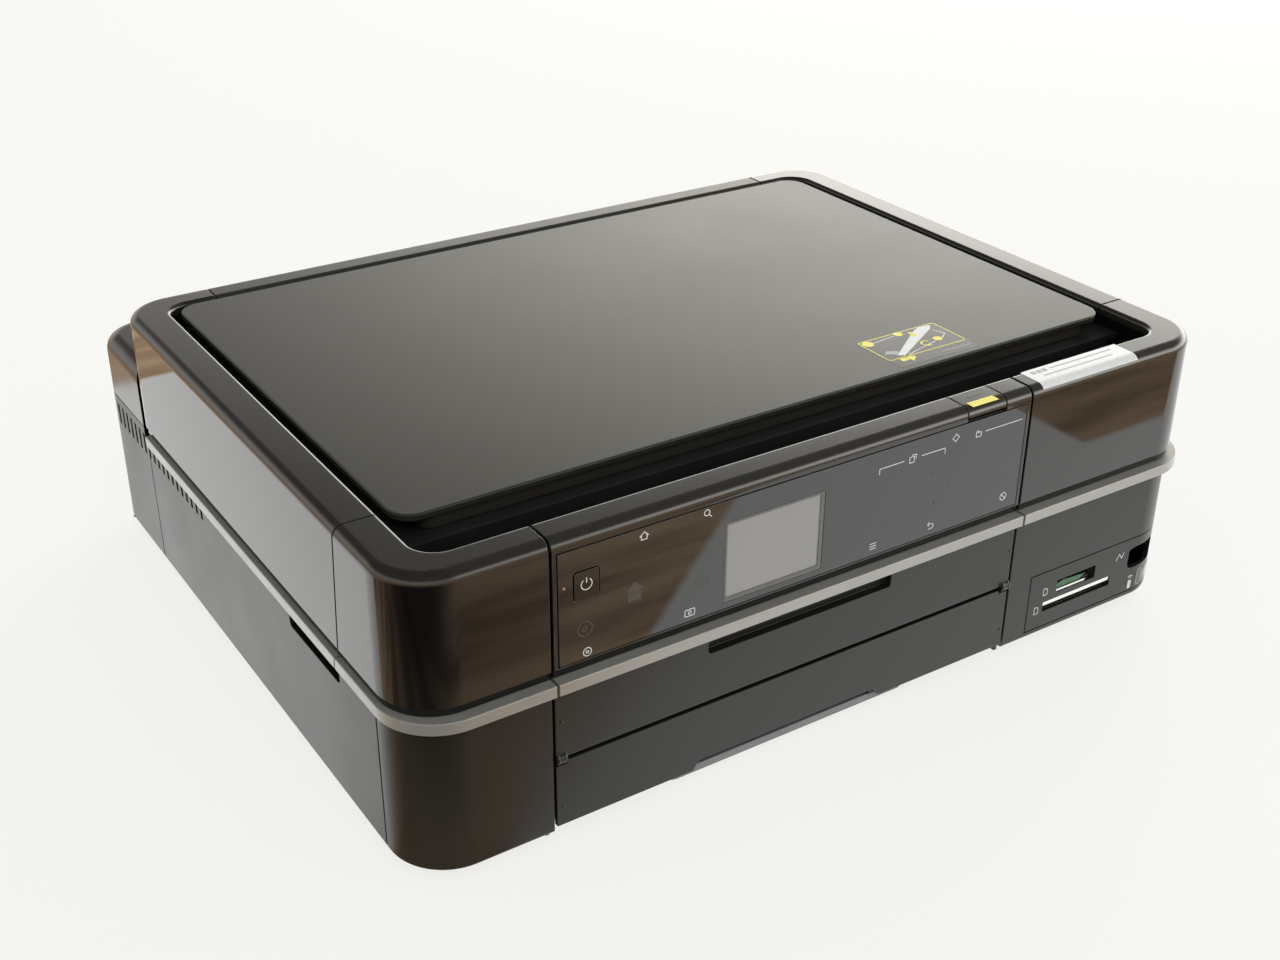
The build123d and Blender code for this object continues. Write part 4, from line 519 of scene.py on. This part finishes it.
def ink_tank():
    """Ink tanks: translucent smoked polypropylene with a moulding sheen."""
    return moulded("ink_tank", (0.05, 0.05, 0.055), (0.08, 0.08, 0.085),
                   (0.22, 0.34), 0.02, 0.0006, 0.1, 0.00003)[0]


def gear_white():
    """Acetal gears: milky white, slick."""
    material, shader = moulded("gear_white", (0.68, 0.67, 0.62), (0.76, 0.75, 0.70),
                               (0.28, 0.38), 0.01, 0.0006, 0.1, 0.00003)
    shader.inputs["Subsurface Weight"].default_value = 0.1
    shader.inputs["Subsurface Radius"].default_value = (0.001, 0.001, 0.001)
    return material


FINISHES = {
    "gloss_black": gloss_black(), "lid_grey": lid_grey(), "textured_black": textured_black(),
    "silver_strip": silver_strip(), "inner_black": inner_black(), "grey_plastic": grey_plastic(),
    "socket_metal": brushed("socket_metal", (0.60, 0.60, 0.58), (0.75, 0.75, 0.72),
                            (0.2, 0.35), "x"),
    "circuit_green": circuit_green(), "rubber": rubber("rubber", 0.018),
    "belt_rubber": rubber("belt_rubber", 0.012), "zinc_steel": zinc_steel(),
    "polished_steel": brushed("polished_steel", (0.66, 0.66, 0.67), (0.8, 0.8, 0.8),
                              (0.08, 0.2), "x"),
    "touch_face": glass_smoke(), "display_face": display_face(), "glass": clear_glass(),
    "white_mat": white_mat(), "ink_tank": ink_tank(), "gear_white": gear_white(),
    "roller_black": rubber("roller_black", 0.02)}
REAR_SATIN = rim_brown()
slot_of = {part["node"]: part["material_slot"] for part in frame["record"]["subparts"]}
for name, node in frame["nodes"].items():
    node.data.materials.clear()
    node.data.materials.append(REAR_SATIN if name == "rear_cover" else FINISHES[slot_of[name]])
print("finishes:", len(FINISHES), "on", len(slot_of), "nodes")

# %% [markdown]
# ## Soft edges
# A moulded edge is never sharp: the cutter that made the tool leaves a small round, and that
# round is what catches the light along every seam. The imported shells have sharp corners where
# two faces meet. Each visible shell is copied, its loose triangles are merged back into
# faces, and a Bevel modifier rounds every edge that turns by more than thirty degrees.

# %% A shell with soft edges
EDGE_TURN = radians(30)
body_of = {name: body for body, names in frame["record"]["behaviour"]["bodies"].items()
           for name in names}


def softened(name, width, steps=2):
    """A merged copy of one node's shell with its sharp edges rounded to `width` metres."""
    mesh = frame["nodes"][name].data.copy()
    shell = bmesh.new()
    shell.from_mesh(mesh)
    bmesh.ops.remove_doubles(shell, verts=shell.verts, dist=2e-6)
    bmesh.ops.dissolve_limit(shell, angle_limit=radians(0.6), verts=shell.verts, edges=shell.edges)
    for face in shell.faces:
        face.smooth = True
    shell.to_mesh(mesh)
    shell.free()
    if "custom_normal" in mesh.attributes:
        mesh.attributes.remove(mesh.attributes["custom_normal"])
    piece = bpy.data.objects.new(name + "_shell", mesh)
    scene.collection.objects.link(piece)
    round_edge = piece.modifiers.new("edge round", "BEVEL")
    round_edge.width = width
    round_edge.segments = steps
    round_edge.limit_method = "ANGLE"
    round_edge.angle_limit = EDGE_TURN
    round_edge.use_clamp_overlap = False
    even = piece.modifiers.new("even normals", "WEIGHTED_NORMAL")
    even.keep_sharp = True
    even.weight = 100
    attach(piece, body_of[name])
    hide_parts(name)
    return piece


SHELLS = {
    0.00035: ["front_left_casing", "front_right_casing", "panel_frame", "scanner_housing",
              "cover_hinge_band", "panel_release_button", "front_cover", "cassette_front",
              "lower_left_corner", "lower_right_corner", "left_side_panel", "right_side_panel",
              "rear_panel", "rear_cover", "card_slot_panel", "duplex_unit"],
    0.00025: ["document_cover", "corner_strips", "side_strips", "panel_strip", "touch_sheet",
              "power_button", "front_deck", "scanner_bed"]}
shells = {name: softened(name, width) for width, names in SHELLS.items() for name in names}
print("softened shells:", len(shells))

# %% [markdown]
# ## Printed marks, stickers and small fittings
# Everything that is printed or stuck on stands a few hundredths of a millimetre above its
# carrier. A picture texture would do for one view only, and a bare flat face would flicker
# against what it lies on, so each mark is a thin closed solid: a bar carried along a path, or
# a plate drawn in from its outline. Both are grids of points worked out as whole arrays.

# %% Surfaces from arrays
INK_H = 0.04                  # how high ink stands, in millimetres
PROUD = 2 * INK_H             # ink that crosses other ink stands above it
LINE_W = 0.42


def grid_mesh(points, wrap_rows=False, wrap_columns=True):
    """Vertices and quads of a grid (rows, columns, 3): each quad joins a point to its
    neighbours along both parameters, and a wrapped direction meets its own start."""
    rows, columns = points.shape[:2]
    index = np.arange(rows * columns).reshape(rows, columns)
    here = index if wrap_rows else index[:-1]
    after = np.roll(index, -1, 0) if wrap_rows else index[1:]
    if wrap_columns:
        corners = here, np.roll(here, -1, 1), np.roll(after, -1, 1), after
    else:
        corners = here[:, :-1], here[:, 1:], after[:, 1:], after[:, :-1]
    return points.reshape(-1, 3), np.stack(corners, -1).reshape(-1, 4)


def stroke(path, width, carrier, closed=False, thick=INK_H):
    """A flat bar along a path. Each station's section has its corners half a width to either
    side, along the mitre, on the face and `thick` above it. An open bar shrinks to a point at
    each end, which closes it."""
    path = np.asarray(path, float)
    ahead = np.roll(path, -1, 0) - path
    ahead /= np.linalg.norm(ahead, axis=1, keepdims=True) + 1e-12
    behind = np.roll(ahead, 1, 0)
    if not closed:
        ahead[-1], behind[0] = behind[-1], ahead[0]
    along = ahead + behind
    along /= np.linalg.norm(along, axis=1, keepdims=True)
    across = np.stack([-along[:, 1], along[:, 0]], 1) / (along * ahead).sum(1, keepdims=True)
    left, right = path + across * width / 2, path - across * width / 2
    low, high = np.zeros(len(path)), np.full(len(path), thick)
    ring = np.stack([carrier(*left.T, low), carrier(*left.T, high),
                     carrier(*right.T, high), carrier(*right.T, low)], 1)
    if not closed:
        ends = [np.repeat(ring[i].mean(0)[None], 4, 0)[None] for i in (0, -1)]
        ring = np.concatenate([ends[0], ring, ends[1]])
    return grid_mesh(ring, wrap_rows=closed)


def plate(outline, carrier, thick=INK_H, dome=0.0):
    """A plate whose outline can be seen from its middle: rows run from the middle of the
    underside out to the edge, up, and back in, so the outline's scale goes 0, 1, 1, 0.5, 0.
    A dome lifts the last two rows by three quarters of its height and by all of it."""
    outline = np.asarray(outline, float)
    middle = outline.mean(0)
    rows = ((0, 0), (1, 0), (1, thick), (0.5, thick + dome * 0.75), (0, thick + dome))
    points = np.stack([carrier(*(middle + (outline - middle) * spread).T,
                               np.full(len(outline), lift)) for spread, lift in rows])
    return grid_mesh(points)


def arc(centre, radius, start=0.0, stop=360.0, count=28):
    """Points on a circle from one angle to another, in degrees; a full turn leaves out the
    last point, which would be the first again."""
    turn = np.radians(np.linspace(start, stop, count, endpoint=stop - start < 359.9))
    return np.stack([centre[0] + radius * np.cos(turn), centre[1] + radius * np.sin(turn)], 1)


def rounded(x0, x1, y0, y1, radius):
    """Rectangle with rounded corners: four quarter circles joined by straight sides."""
    centres = ((x1 - radius, y1 - radius, 0), (x0 + radius, y1 - radius, 90),
               (x0 + radius, y0 + radius, 180), (x1 - radius, y0 + radius, 270))
    return np.concatenate([arc((x, y), radius, turn, turn + 90, 6) for x, y, turn in centres])


def box_outline(x0, x1, y0, y1):
    return [(x0, y0), (x1, y0), (x1, y1), (x0, y1)]


def on_front(y):
    return lambda u, v, h: np.stack([u, np.full_like(u, y) - h, v], -1) * MM


def on_back(y):
    return lambda u, v, h: np.stack([u, np.full_like(u, y) + h, v], -1) * MM


def on_top(z):
    return lambda u, v, h: np.stack([u, v, np.full_like(u, z) + h], -1) * MM


def under(z):
    return lambda u, v, h: np.stack([u, v, np.full_like(u, z) - h], -1) * MM


def add_piece(name, grids, finish, carrier, smooth=False):
    """One object made of several closed grids, riding with the node that carries it."""
    starts = np.cumsum([0] + [len(points) for points, _ in grids[:-1]])
    vertices = np.concatenate([points for points, _ in grids])
    faces = np.concatenate([quads + start for (_, quads), start in zip(grids, starts)])
    mesh = bpy.data.meshes.new(name)
    mesh.from_pydata(vertices.tolist(), [], faces.tolist())
    shell = bmesh.new()
    shell.from_mesh(mesh)
    bmesh.ops.remove_doubles(shell, verts=shell.verts, dist=1e-7)
    bmesh.ops.recalc_face_normals(shell, faces=shell.faces)
    for face in shell.faces:
        face.smooth = smooth
    shell.to_mesh(mesh)
    shell.free()
    mesh.materials.append(finish)
    piece = bpy.data.objects.new(name, mesh)
    scene.collection.objects.link(piece)
    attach(piece, body_of[carrier])
    print(name, len(mesh.polygons), "faces")
    return piece


def corner(node, top, axis):
    """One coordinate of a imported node's box, in millimetres."""
    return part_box(node)[top][axis] / MM


# %% [markdown]
# ## Inks and films
# Screen-printed ink is never one even value: its film is thinner at the edges of each pass and
# it picks up grease. Each ink is the plastic recipe again with its own colours.

# %% Inks and films
def ink(name, dark, light, rough=(0.35, 0.5)):
    return moulded(name, dark, light, rough, 0.004, 0.0003, 0.08, 0.00001)[0]


WHITE_INK = ink("white_ink", (0.66, 0.67, 0.65), (0.80, 0.80, 0.78))
PALE_INK = ink("pale_ink", (0.33, 0.34, 0.33), (0.42, 0.42, 0.41))
GHOST_INK = ink("ghost_ink", (0.052, 0.046, 0.038), (0.075, 0.066, 0.055), (0.2, 0.3))
YELLOW_INK = ink("yellow_ink", (0.80, 0.72, 0.10), (0.88, 0.80, 0.16))
BLACK_INK = ink("black_ink", (0.006, 0.006, 0.006), (0.012, 0.012, 0.012))
STICKER = ink("sticker_film", (0.74, 0.74, 0.72), (0.84, 0.84, 0.82), (0.25, 0.4))
FILM = ink("dark_film", (0.028, 0.027, 0.024), (0.036, 0.034, 0.030), (0.18, 0.26))
AMBER = ink("amber_lens", (0.30, 0.16, 0.10), (0.42, 0.24, 0.15), (0.15, 0.25))
SMOKE = ink("smoked_window", (0.010, 0.010, 0.011), (0.016, 0.015, 0.016), (0.04, 0.08))
GREY_MASK = ink("display_mask", (0.10, 0.098, 0.09), (0.14, 0.135, 0.125), (0.2, 0.3))

# %% [markdown]
# ## The touch panel's marks
# Under the clear sheet each touch key is a ghost of grey that lights up in use. The words that
# name the keys on the real printer are left out: a small plain sign stands in each place.

# %% Signs, drawn in a unit square
SIGNS = {
    "power": [(arc((0, 0), 1, 125, 415, 26), False), ([(0, 0.25), (0, 1.25)], False)],
    "home": [([(-1, 0), (0, 0.95), (1, 0), (0.7, 0), (0.7, -0.9), (-0.7, -0.9), (-0.7, 0)], True)],
    "zoom": [(arc((-0.25, 0.25), 0.7), True), ([(0.3, -0.3), (1, -1)], False)],
    "disc": [(arc((0, 0), 1), True), (arc((0, 0), 0.3, count=12), True)],
    "view": [(rounded(-1.3, 1.3, -0.85, 0.85, 0.3), True), (arc((0, 0), 0.4, count=12), True)],
    "menu": [([(-1, y), (1, y)], False) for y in (-0.7, 0, 0.7)],
    "back": [(np.concatenate([[(-0.9, 0.5)], arc((0.3, -0.15), 0.65, 90, -90, 12),
                              [(-0.6, -0.8)]]), False),
             ([(-0.35, 1.05), (-0.95, 0.5), (-0.35, -0.05)], False)],
    "stop": [(arc((0, 0), 1), True), ([(-0.62, 0.62), (0.62, -0.62)], False)],
    "start": [([(0, -1), (1, 0), (0, 1), (-1, 0)], True)],
    "copies": [(rounded(-1, 0.4, -1, 0.5, 0.15), True),
               ([(-0.4, 0.95), (0.95, 0.95), (0.95, -0.4)], False)],
    "release": [(rounded(-0.8, 0.8, -1, 0.1, 0.15), True),
                (arc((-0.35, 0.1), 0.45, 0, 180, 10), False)],
    "card": [([(-0.7, -1), (0.7, -1), (0.7, 0.5), (0.25, 1), (-0.7, 1)], True)],
    "wave": [(arc((0, 0), r, 40, 140, 10), False) for r in (0.6, 1.1)]}


def sign(kind, centre, size, carrier, width=LINE_W):
    """A sign's strokes, scaled to `size` and moved to its centre."""
    return [stroke(np.asarray(path) * size + np.asarray(centre), width, carrier, closed)
            for path, closed in SIGNS[kind]]


# %% Marks on the touch sheet
glass_face = on_front(corner("touch_sheet", 0, 1))
SIGN_SIZE = 1.9
white_marks = []
for kind, x, z in (("home", -112.5, 139.3), ("zoom", -81.5, 140.0), ("disc", -139.5, 93.7),
                   ("view", -89.5, 95.0), ("menu", 9.5, 95.6), ("back", 43.5, 95.6),
                   ("stop", 88.5, 97.6), ("start", 54.0, 137.6), ("release", 68.0, 136.4),
                   ("copies", 29.0, 134.2)):
    white_marks += sign(kind, (x, z), SIGN_SIZE, glass_face)
for foot, arm in ((10.0, 24.0), (48.0, 34.0)):
    white_marks.append(stroke([(foot, 131.4), (foot, 134.2), (arm, 134.2)], LINE_W, glass_face))
white_marks.append(stroke([(72.0, 136.2), (95.0, 136.2)], LINE_W, glass_face))
add_piece("panel_marks", white_marks, WHITE_INK, "touch_sheet")

GHOST_W = 0.5
house = np.array([(-4.6, 0.4), (0, 4.8), (4.6, 0.4), (3.2, 0.4), (3.2, -4.2), (-3.2, -4.2),
                  (-3.2, 0.4)])
ghosts = [plate(house + (-117.0, 114.5), glass_face)]
for kind, x, z, size in (("disc", -140.5, 105.0, 3.4), ("view", -84.0, 108.0, 2.6),
                         ("menu", 14.0, 105.0, 2.4), ("start", 54.6, 113.0, 3.6),
                         ("back", 46.0, 106.0, 2.2), ("stop", 86.0, 107.5, 2.8)):
    ghosts += sign(kind, (x, z), size, glass_face, GHOST_W)
MINUS_X, PLUS_X, COUNT_Z = 16.0, 42.0, 123.0
for x in (MINUS_X, PLUS_X):
    ghosts.append(stroke([(x - 1.6, COUNT_Z), (x + 1.6, COUNT_Z)], GHOST_W, glass_face))
for low, high in ((121.4, 122.7), (123.3, 124.6)):
    ghosts.append(stroke([(PLUS_X, low), (PLUS_X, high)], GHOST_W, glass_face))
add_piece("panel_ghost_keys", ghosts, GHOST_INK, "touch_sheet")

lcd_x0, lcd_z0 = corner("display", 0, 0), corner("display", 0, 2)
lcd_x1, lcd_z1 = corner("display", 1, 0), corner("display", 1, 2)
MASK_W, MASK_H = 1.0, 0.02
mask = [stroke(path, MASK_W, glass_face, closed, MASK_H) for path, closed in (
    (box_outline(lcd_x0 + 0.5, lcd_x1 - 0.5, lcd_z0 + 0.5, lcd_z1 - 0.5), True),
    ([(lcd_x0 + 1, lcd_z0 + 1.5), (lcd_x1 - 1, lcd_z0 + 1.5)], False),
    ([(lcd_x1 - 1.5, lcd_z0 + 2), (lcd_x1 - 1.5, lcd_z1 - 1)], False))]
add_piece("display_mask", mask, GREY_MASK, "touch_sheet")
add_piece("power_lamp", [plate(arc((-149.9, 126.9), 0.7, count=16), glass_face, 0.1, 0.15)],
          AMBER, "touch_sheet", smooth=True)
button_face = on_front(corner("power_button", 0, 1))
power_x = (corner("power_button", 0, 0) + corner("power_button", 1, 0)) / 2
power_z = (corner("power_button", 0, 2) + corner("power_button", 1, 2)) / 2
add_piece("power_sign", sign("power", (power_x, power_z), 2.5, button_face),
          WHITE_INK, "power_button")

# %% [markdown]
# ## Stickers and the release button
# The release button carries a yellow bar so that a hand finds it. The sticker on the right rim
# is a blank white film with a few plain grey lines, and the guide on the lid shows no words:
# a clear film, a frame, a white beam and round yellow dots with arrows between them.

# %% Release button and rim sticker
rim_top = on_top(corner("panel_frame", 1, 2))
key_x0 = corner("panel_release_button", 0, 0)
add_piece("release_bar", [plate(box_outline(key_x0 + 2.6, key_x0 + 18.2, -187.3, -182.6),
                                rim_top)], YELLOW_INK, "panel_release_button")
add_piece("release_mark", [stroke([(key_x0 + 6.5, -178.6), (key_x0 + 14.5, -178.6)], 1.1, rim_top)],
          BLACK_INK, "panel_release_button")

ROLL_R = 4.8
FACE_Y = corner("panel_frame", 0, 1)
RIM_Z = corner("panel_frame", 1, 2)


def over_rim(u, s, h):
    """Carries a flat film over the rolled front edge: s is the distance forwards from the line
    where the flat top ends. Up to there the film lies flat, past it the film turns by s / r."""
    turn = np.clip(s / ROLL_R, 0, pi / 2)
    flat = np.minimum(s, 0)
    y = FACE_Y + ROLL_R - flat - (ROLL_R + h) * np.sin(turn)
    z = RIM_Z - ROLL_R + (ROLL_R + h) * np.cos(turn)
    return np.stack([u, y, z], -1) * MM


def film(x0, x1, s0, s1, carrier, thick=INK_H, lengthwise=2, crosswise=14):
    """A film bent with its carrier: upper and lower sheets of one grid, joined at the rim by
    walking there and back. Columns go once round the section, rows go along it."""
    walk = np.linspace(s0, s1, crosswise)
    s = np.concatenate([walk, walk[::-1]])
    h = np.repeat([thick, 0.0], crosswise)
    along = np.linspace(x0, x1, lengthwise)
    points = carrier(np.repeat(along[:, None], len(s), 1), np.repeat(s[None], lengthwise, 0),
                     np.repeat(h[None], lengthwise, 0))
    middle = points.mean(1, keepdims=True).repeat(len(s), 1)
    return grid_mesh(np.concatenate([middle[:1], points, middle[-1:]]))


add_piece("rim_sticker", [film(107.5, 170.0, -11.5, 5.0, over_rim)], STICKER, "front_right_casing")
lines = [film(x0, x1, s - 0.45, s + 0.45, over_rim, PROUD, 2, 3)
         for x0, x1, s in ((123, 164, -8.0), (115, 160, -3.4))]
lines += [film(x - 1.3, x + 1.3, -9.4, -6.6, over_rim, PROUD, 2, 3) for x in (112.5, 116.0, 119.5)]
add_piece("rim_sticker_lines", lines, PALE_INK, "front_right_casing")

# %% Guide on the lid
lid_top = corner("document_cover", 1, 2)
lid_face, lid_film = on_top(lid_top), on_top(lid_top + INK_H)
GUIDE_X0, GUIDE_X1, GUIDE_Y0, GUIDE_Y1 = 65.0, 114.7, -137.0, -103.3
FRAME_Y0 = -128.2
add_piece("lid_guide_film", [plate(rounded(GUIDE_X0, GUIDE_X1, GUIDE_Y0, GUIDE_Y1, 2.0), lid_face)],
          FILM, "document_cover")
yellow = [stroke(rounded(GUIDE_X0 + 0.7, GUIDE_X1 - 0.7, FRAME_Y0, GUIDE_Y1 - 0.7, 1.6),
                 0.6, lid_film, True)]
for x, y, r in ((69.5, -107.5, 3.0), (90.0, -105.8, 2.4), (103.0, -120.0, 2.4)):
    yellow.append(plate(arc((x, y), r), lid_film, PROUD))
arrow = np.array([(-3.4, -1.2), (0.4, -1.2), (0.4, -3.0), (4.0, 0), (0.4, 3.0), (0.4, 1.2),
                  (-3.4, 1.2)])
turned = arrow @ np.array([(0.0, -1.0), (1.0, 0.0)])
yellow.append(plate(arrow * 1.25 + (75.0, -130.5), lid_film))
yellow.append(plate(turned * 0.8 + (96.0, -109.5), lid_film, PROUD))
yellow.append(stroke(arc((94.5, -121.5), 2.6, 30, 300, 14), 0.9, lid_film, thick=PROUD))
add_piece("lid_guide_yellow", yellow, YELLOW_INK, "document_cover")
white = [plate([(73.0, -125.0), (76.5, -126.8), (108.5, -108.6), (111.0, -105.2), (104.0, -104.6),
                (99.5, -106.6)], lid_film),
         stroke([(72.5, -108.0), (87.0, -106.4)], 0.5, lid_film),
         stroke([(105.5, -120.5), (110.5, -117.0), (108.0, -111.0)], 0.6, lid_film),
         stroke([(100.5, -121.6), (78.0, -127.2)], 0.5, lid_film)]
add_piece("lid_guide_white", white, WHITE_INK, "document_cover")
grey = [plate([(68.5, -121.0), (73.8, -124.3), (76.8, -121.6), (71.5, -118.6)], lid_film),
        stroke([(94.0, -133.2), (112.0, -133.2)], 0.7, lid_film)]
add_piece("lid_guide_grey", grey, PALE_INK, "document_cover")

# %% [markdown]
# ## The card corner
# Two card slots, a plug window and a smoked, round-cornered window for an infrared eye share
# one panel that runs round the casing's corner. Behind the slots a green board and bright
# shutters show. The real panel names its cards in words; plain card signs stand there instead.

# %% Card slots and windows
corner_face = on_front(FACE_Y)
card_signs = sign("card", (127.5, 31.5), SIGN_SIZE, corner_face)
card_signs += sign("card", (122.5, 22.0), SIGN_SIZE, corner_face)
card_signs += sign("wave", (190.8, 18.0), 2.0, corner_face)
card_signs.append(plate(rounded(189.6, 192.0, 12.4, 17.4, 0.5), corner_face))
card_signs.append(stroke([(177.5, 33.0), (179.5, 36.5), (181.5, 33.8), (183.0, 36.8)],
                         LINE_W, corner_face))
add_piece("card_signs", card_signs, WHITE_INK, "card_slot_panel")


def round_corner(u, v, h):
    """Carries a mark from the front face round the casing's corner: u is the distance from
    where the corner starts, so past zero the mark turns by u / r."""
    turn = np.clip(u / CORNER_R, 0, pi / 2)
    x = CORNER_X + np.minimum(u, 0) + (CORNER_R + h) * np.sin(turn)
    y = FACE_Y + CORNER_R - (CORNER_R + h) * np.cos(turn)
    return np.stack([x, y, v], -1) * MM


CORNER_R = 27.0
CORNER_X = corner("lower_right_corner", 1, 0) - CORNER_R
eye = rounded(2.8, 17.2, 12.6, 22.6, 2.0)
add_piece("infrared_window", [plate(eye, round_corner, 0.10)], SMOKE, "card_slot_panel")
add_piece("infrared_outline", [stroke(eye, 0.45, round_corner, True, 0.14)], PALE_INK,
          "card_slot_panel")
shutter_face = on_front(FACE_Y + 0.9)
add_piece("slot_shutters", [plate(box_outline(135.4, 156.0, 28.4, 29.9), shutter_face, 0.3),
                            plate(box_outline(126.9, 174.6, 22.9, 25.3), shutter_face, 0.3)],
          FINISHES["socket_metal"], "card_slot_panel")
board = plate([(135.4, 30.1), (152.0, 30.1), (156.5, 32.6), (140.0, 33.8), (135.4, 32.0)],
              on_front(FACE_Y + 1.4), 0.3)
add_piece("slot_board", [board], FINISHES["circuit_green"], "card_slot_panel")

# %% [markdown]
# ## Hinge collars and pips
# The front cover turns about a line near its lower edge. At each end of it stand two raised
# collars, which are rings round the hinge's own axis, so they turn in place. Small round pips
# sit above on the cover and below on the cassette.

# %% Collars and pips
HINGE_Y, HINGE_Z, HINGE_R = FACE_Y + 1.4, corner("front_cover", 0, 2) + 3.0, 3.0


def collar(x0, x1, inner, outer, count=32):
    """A ring round the cover's hinge: a rectangular section carried round a circle."""
    turn = np.linspace(0, 2 * pi, count, endpoint=False)[:, None]
    along = np.array([x0, x1, x1, x0]) + 0 * turn
    reach = np.array([inner, inner, outer, outer])
    return grid_mesh(np.stack([along, HINGE_Y + reach * np.cos(turn),
                               HINGE_Z + reach * np.sin(turn)], -1) * MM, wrap_rows=True)


door_x0, door_x1 = corner("front_cover", 0, 0), corner("front_cover", 1, 0)
add_piece("hinge_collars", [collar(x, x + 0.6, HINGE_R - 0.2, HINGE_R + 0.15)
                            for x in (door_x0 + 0.6, door_x0 + 3.8, door_x1 - 4.4, door_x1 - 1.2)],
          FINISHES["gloss_black"], "front_cover", True)
for name, carrier, spots in (("cover_pips", "front_cover", ((-152.0, 63.5), (98.2, 64.6))),
                             ("cassette_pips", "cassette_front", ((-152.0, 20.0), (98.2, 19.7)))):
    pips = [plate(arc(spot, 0.8, count=16), corner_face, 0.12, 0.2) for spot in spots]
    add_piece(name, pips, BLACK_INK, carrier, True)

# %% [markdown]
# ## Marks inside
# What the lid and the scanner hide gets the plain marks such machines have: a corner arrow
# beside the glass, ruler ticks along its edges, colour tabs on the six tanks, and ticks for
# the sheet sizes on the cassette's floor.

# %% Scanner bed, tanks and cassette
BED_DROP = 2.49               # from the bed's top to just above the ledge round the glass
LONG_TICK, SHORT_TICK = 7.0, 4.5
bed_face = on_top(corner("scanner_bed", 1, 2) - BED_DROP)
glass_x0, glass_x1 = corner("scanner_glass", 0, 0), corner("scanner_glass", 1, 0)
glass_y0, glass_y1 = corner("scanner_glass", 0, 1), corner("scanner_glass", 1, 1)
ticks = []
for k, x in enumerate(np.arange(glass_x1 - 10, glass_x0, -10.0)):
    end = glass_y0 - (LONG_TICK if k % 5 == 0 else SHORT_TICK)
    ticks.append(stroke([(x, glass_y0 - 2.0), (x, end)], 0.5, bed_face))
for k, y in enumerate(np.arange(glass_y0 + 10, glass_y1, 10.0)):
    end = glass_x1 + (LONG_TICK if k % 5 == 0 else SHORT_TICK)
    ticks.append(stroke([(glass_x1 + 2.0, y), (end, y)], 0.5, bed_face))
ticks.append(plate([(glass_x1 + 3.0, glass_y0 - 3.0), (glass_x1 + 12.0, glass_y0 - 5.5),
                    (glass_x1 + 5.5, glass_y0 - 12.0)], bed_face))
add_piece("scan_ruler", ticks, WHITE_INK, "scanner_bed")

TANK_COLOURS = {"black": (0.02, 0.02, 0.02), "cyan": (0.02, 0.35, 0.60),
                "magenta": (0.60, 0.03, 0.25), "yellow": (0.80, 0.65, 0.04),
                "pale_cyan": (0.25, 0.58, 0.70), "pale_magenta": (0.72, 0.32, 0.48)}
FIRST_TANK = 6.2              # from the row's left end to the middle of its first tank
tank_x0, tank_x1 = corner("ink_tanks", 0, 0), corner("ink_tanks", 1, 0)
pitch = (tank_x1 - tank_x0 - 2 * FIRST_TANK) / (len(TANK_COLOURS) - 1)
tank_top = on_top(corner("ink_tanks", 1, 2) - 1.2)
for i, (name, colour) in enumerate(TANK_COLOURS.items()):
    x = tank_x0 + FIRST_TANK + i * pitch
    finish = ink("tab_" + name, colour, tuple(min(c * 1.25, 1) for c in colour))
    tab = plate(rounded(x - 4.2, x + 4.2, -12.0, 20.0, 1.0), tank_top)
    add_piece("tank_tab_" + name, [tab], finish, "ink_tanks")

tray_floor = on_top(corner("edge_guide_left", 0, 2) - 0.2)
mid_x = (corner("cassette_tray", 0, 0) + corner("cassette_tray", 1, 0)) / 2
SHEET_HALVES = (50.0, 64.0, 74.0, 91.0)      # half the widths of the smaller sheets
size_ticks = [stroke([(mid_x + side * w, -95.0), (mid_x + side * w, -86.0)], 0.7, tray_floor)
              for w in SHEET_HALVES for side in (-1, 1)]
add_piece("cassette_ticks", size_ticks, PALE_INK, "cassette_tray")

# %% [markdown]
# ## Back and underside
# Neither shows in a shop picture, so both are kept plain: a blank plate where a rating label
# goes, and a plain plug sign over each socket.

# %% Blank rating plate and socket signs
rear_face = on_back(corner("rear_panel", 1, 1))
add_piece("rating_plate", [plate(rounded(118.0, 162.0, 26.0, 62.0, 1.5), rear_face)],
          STICKER, "rear_panel")
socket_signs = [
    stroke([(-202, 46.0), (-199.0, 46.0), (-199.0, 47.6), (-194.0, 47.6)], 0.5, rear_face),
    stroke([(188.0, 44.5), (188.0, 50.5)], 0.5, rear_face),
    plate(arc((188.0, 44.6), 0.9, count=14), rear_face),
    stroke([(185.6, 48.6), (185.6, 47.2), (188.0, 45.9)], 0.5, rear_face)]
add_piece("socket_signs", socket_signs, PALE_INK, "rear_panel")
belly = plate(rounded(-40.0, 40.0, 40.0, 90.0, 2.0), under(corner("bottom_tray", 0, 2)))
add_piece("belly_plate", [belly], STICKER, "bottom_tray")
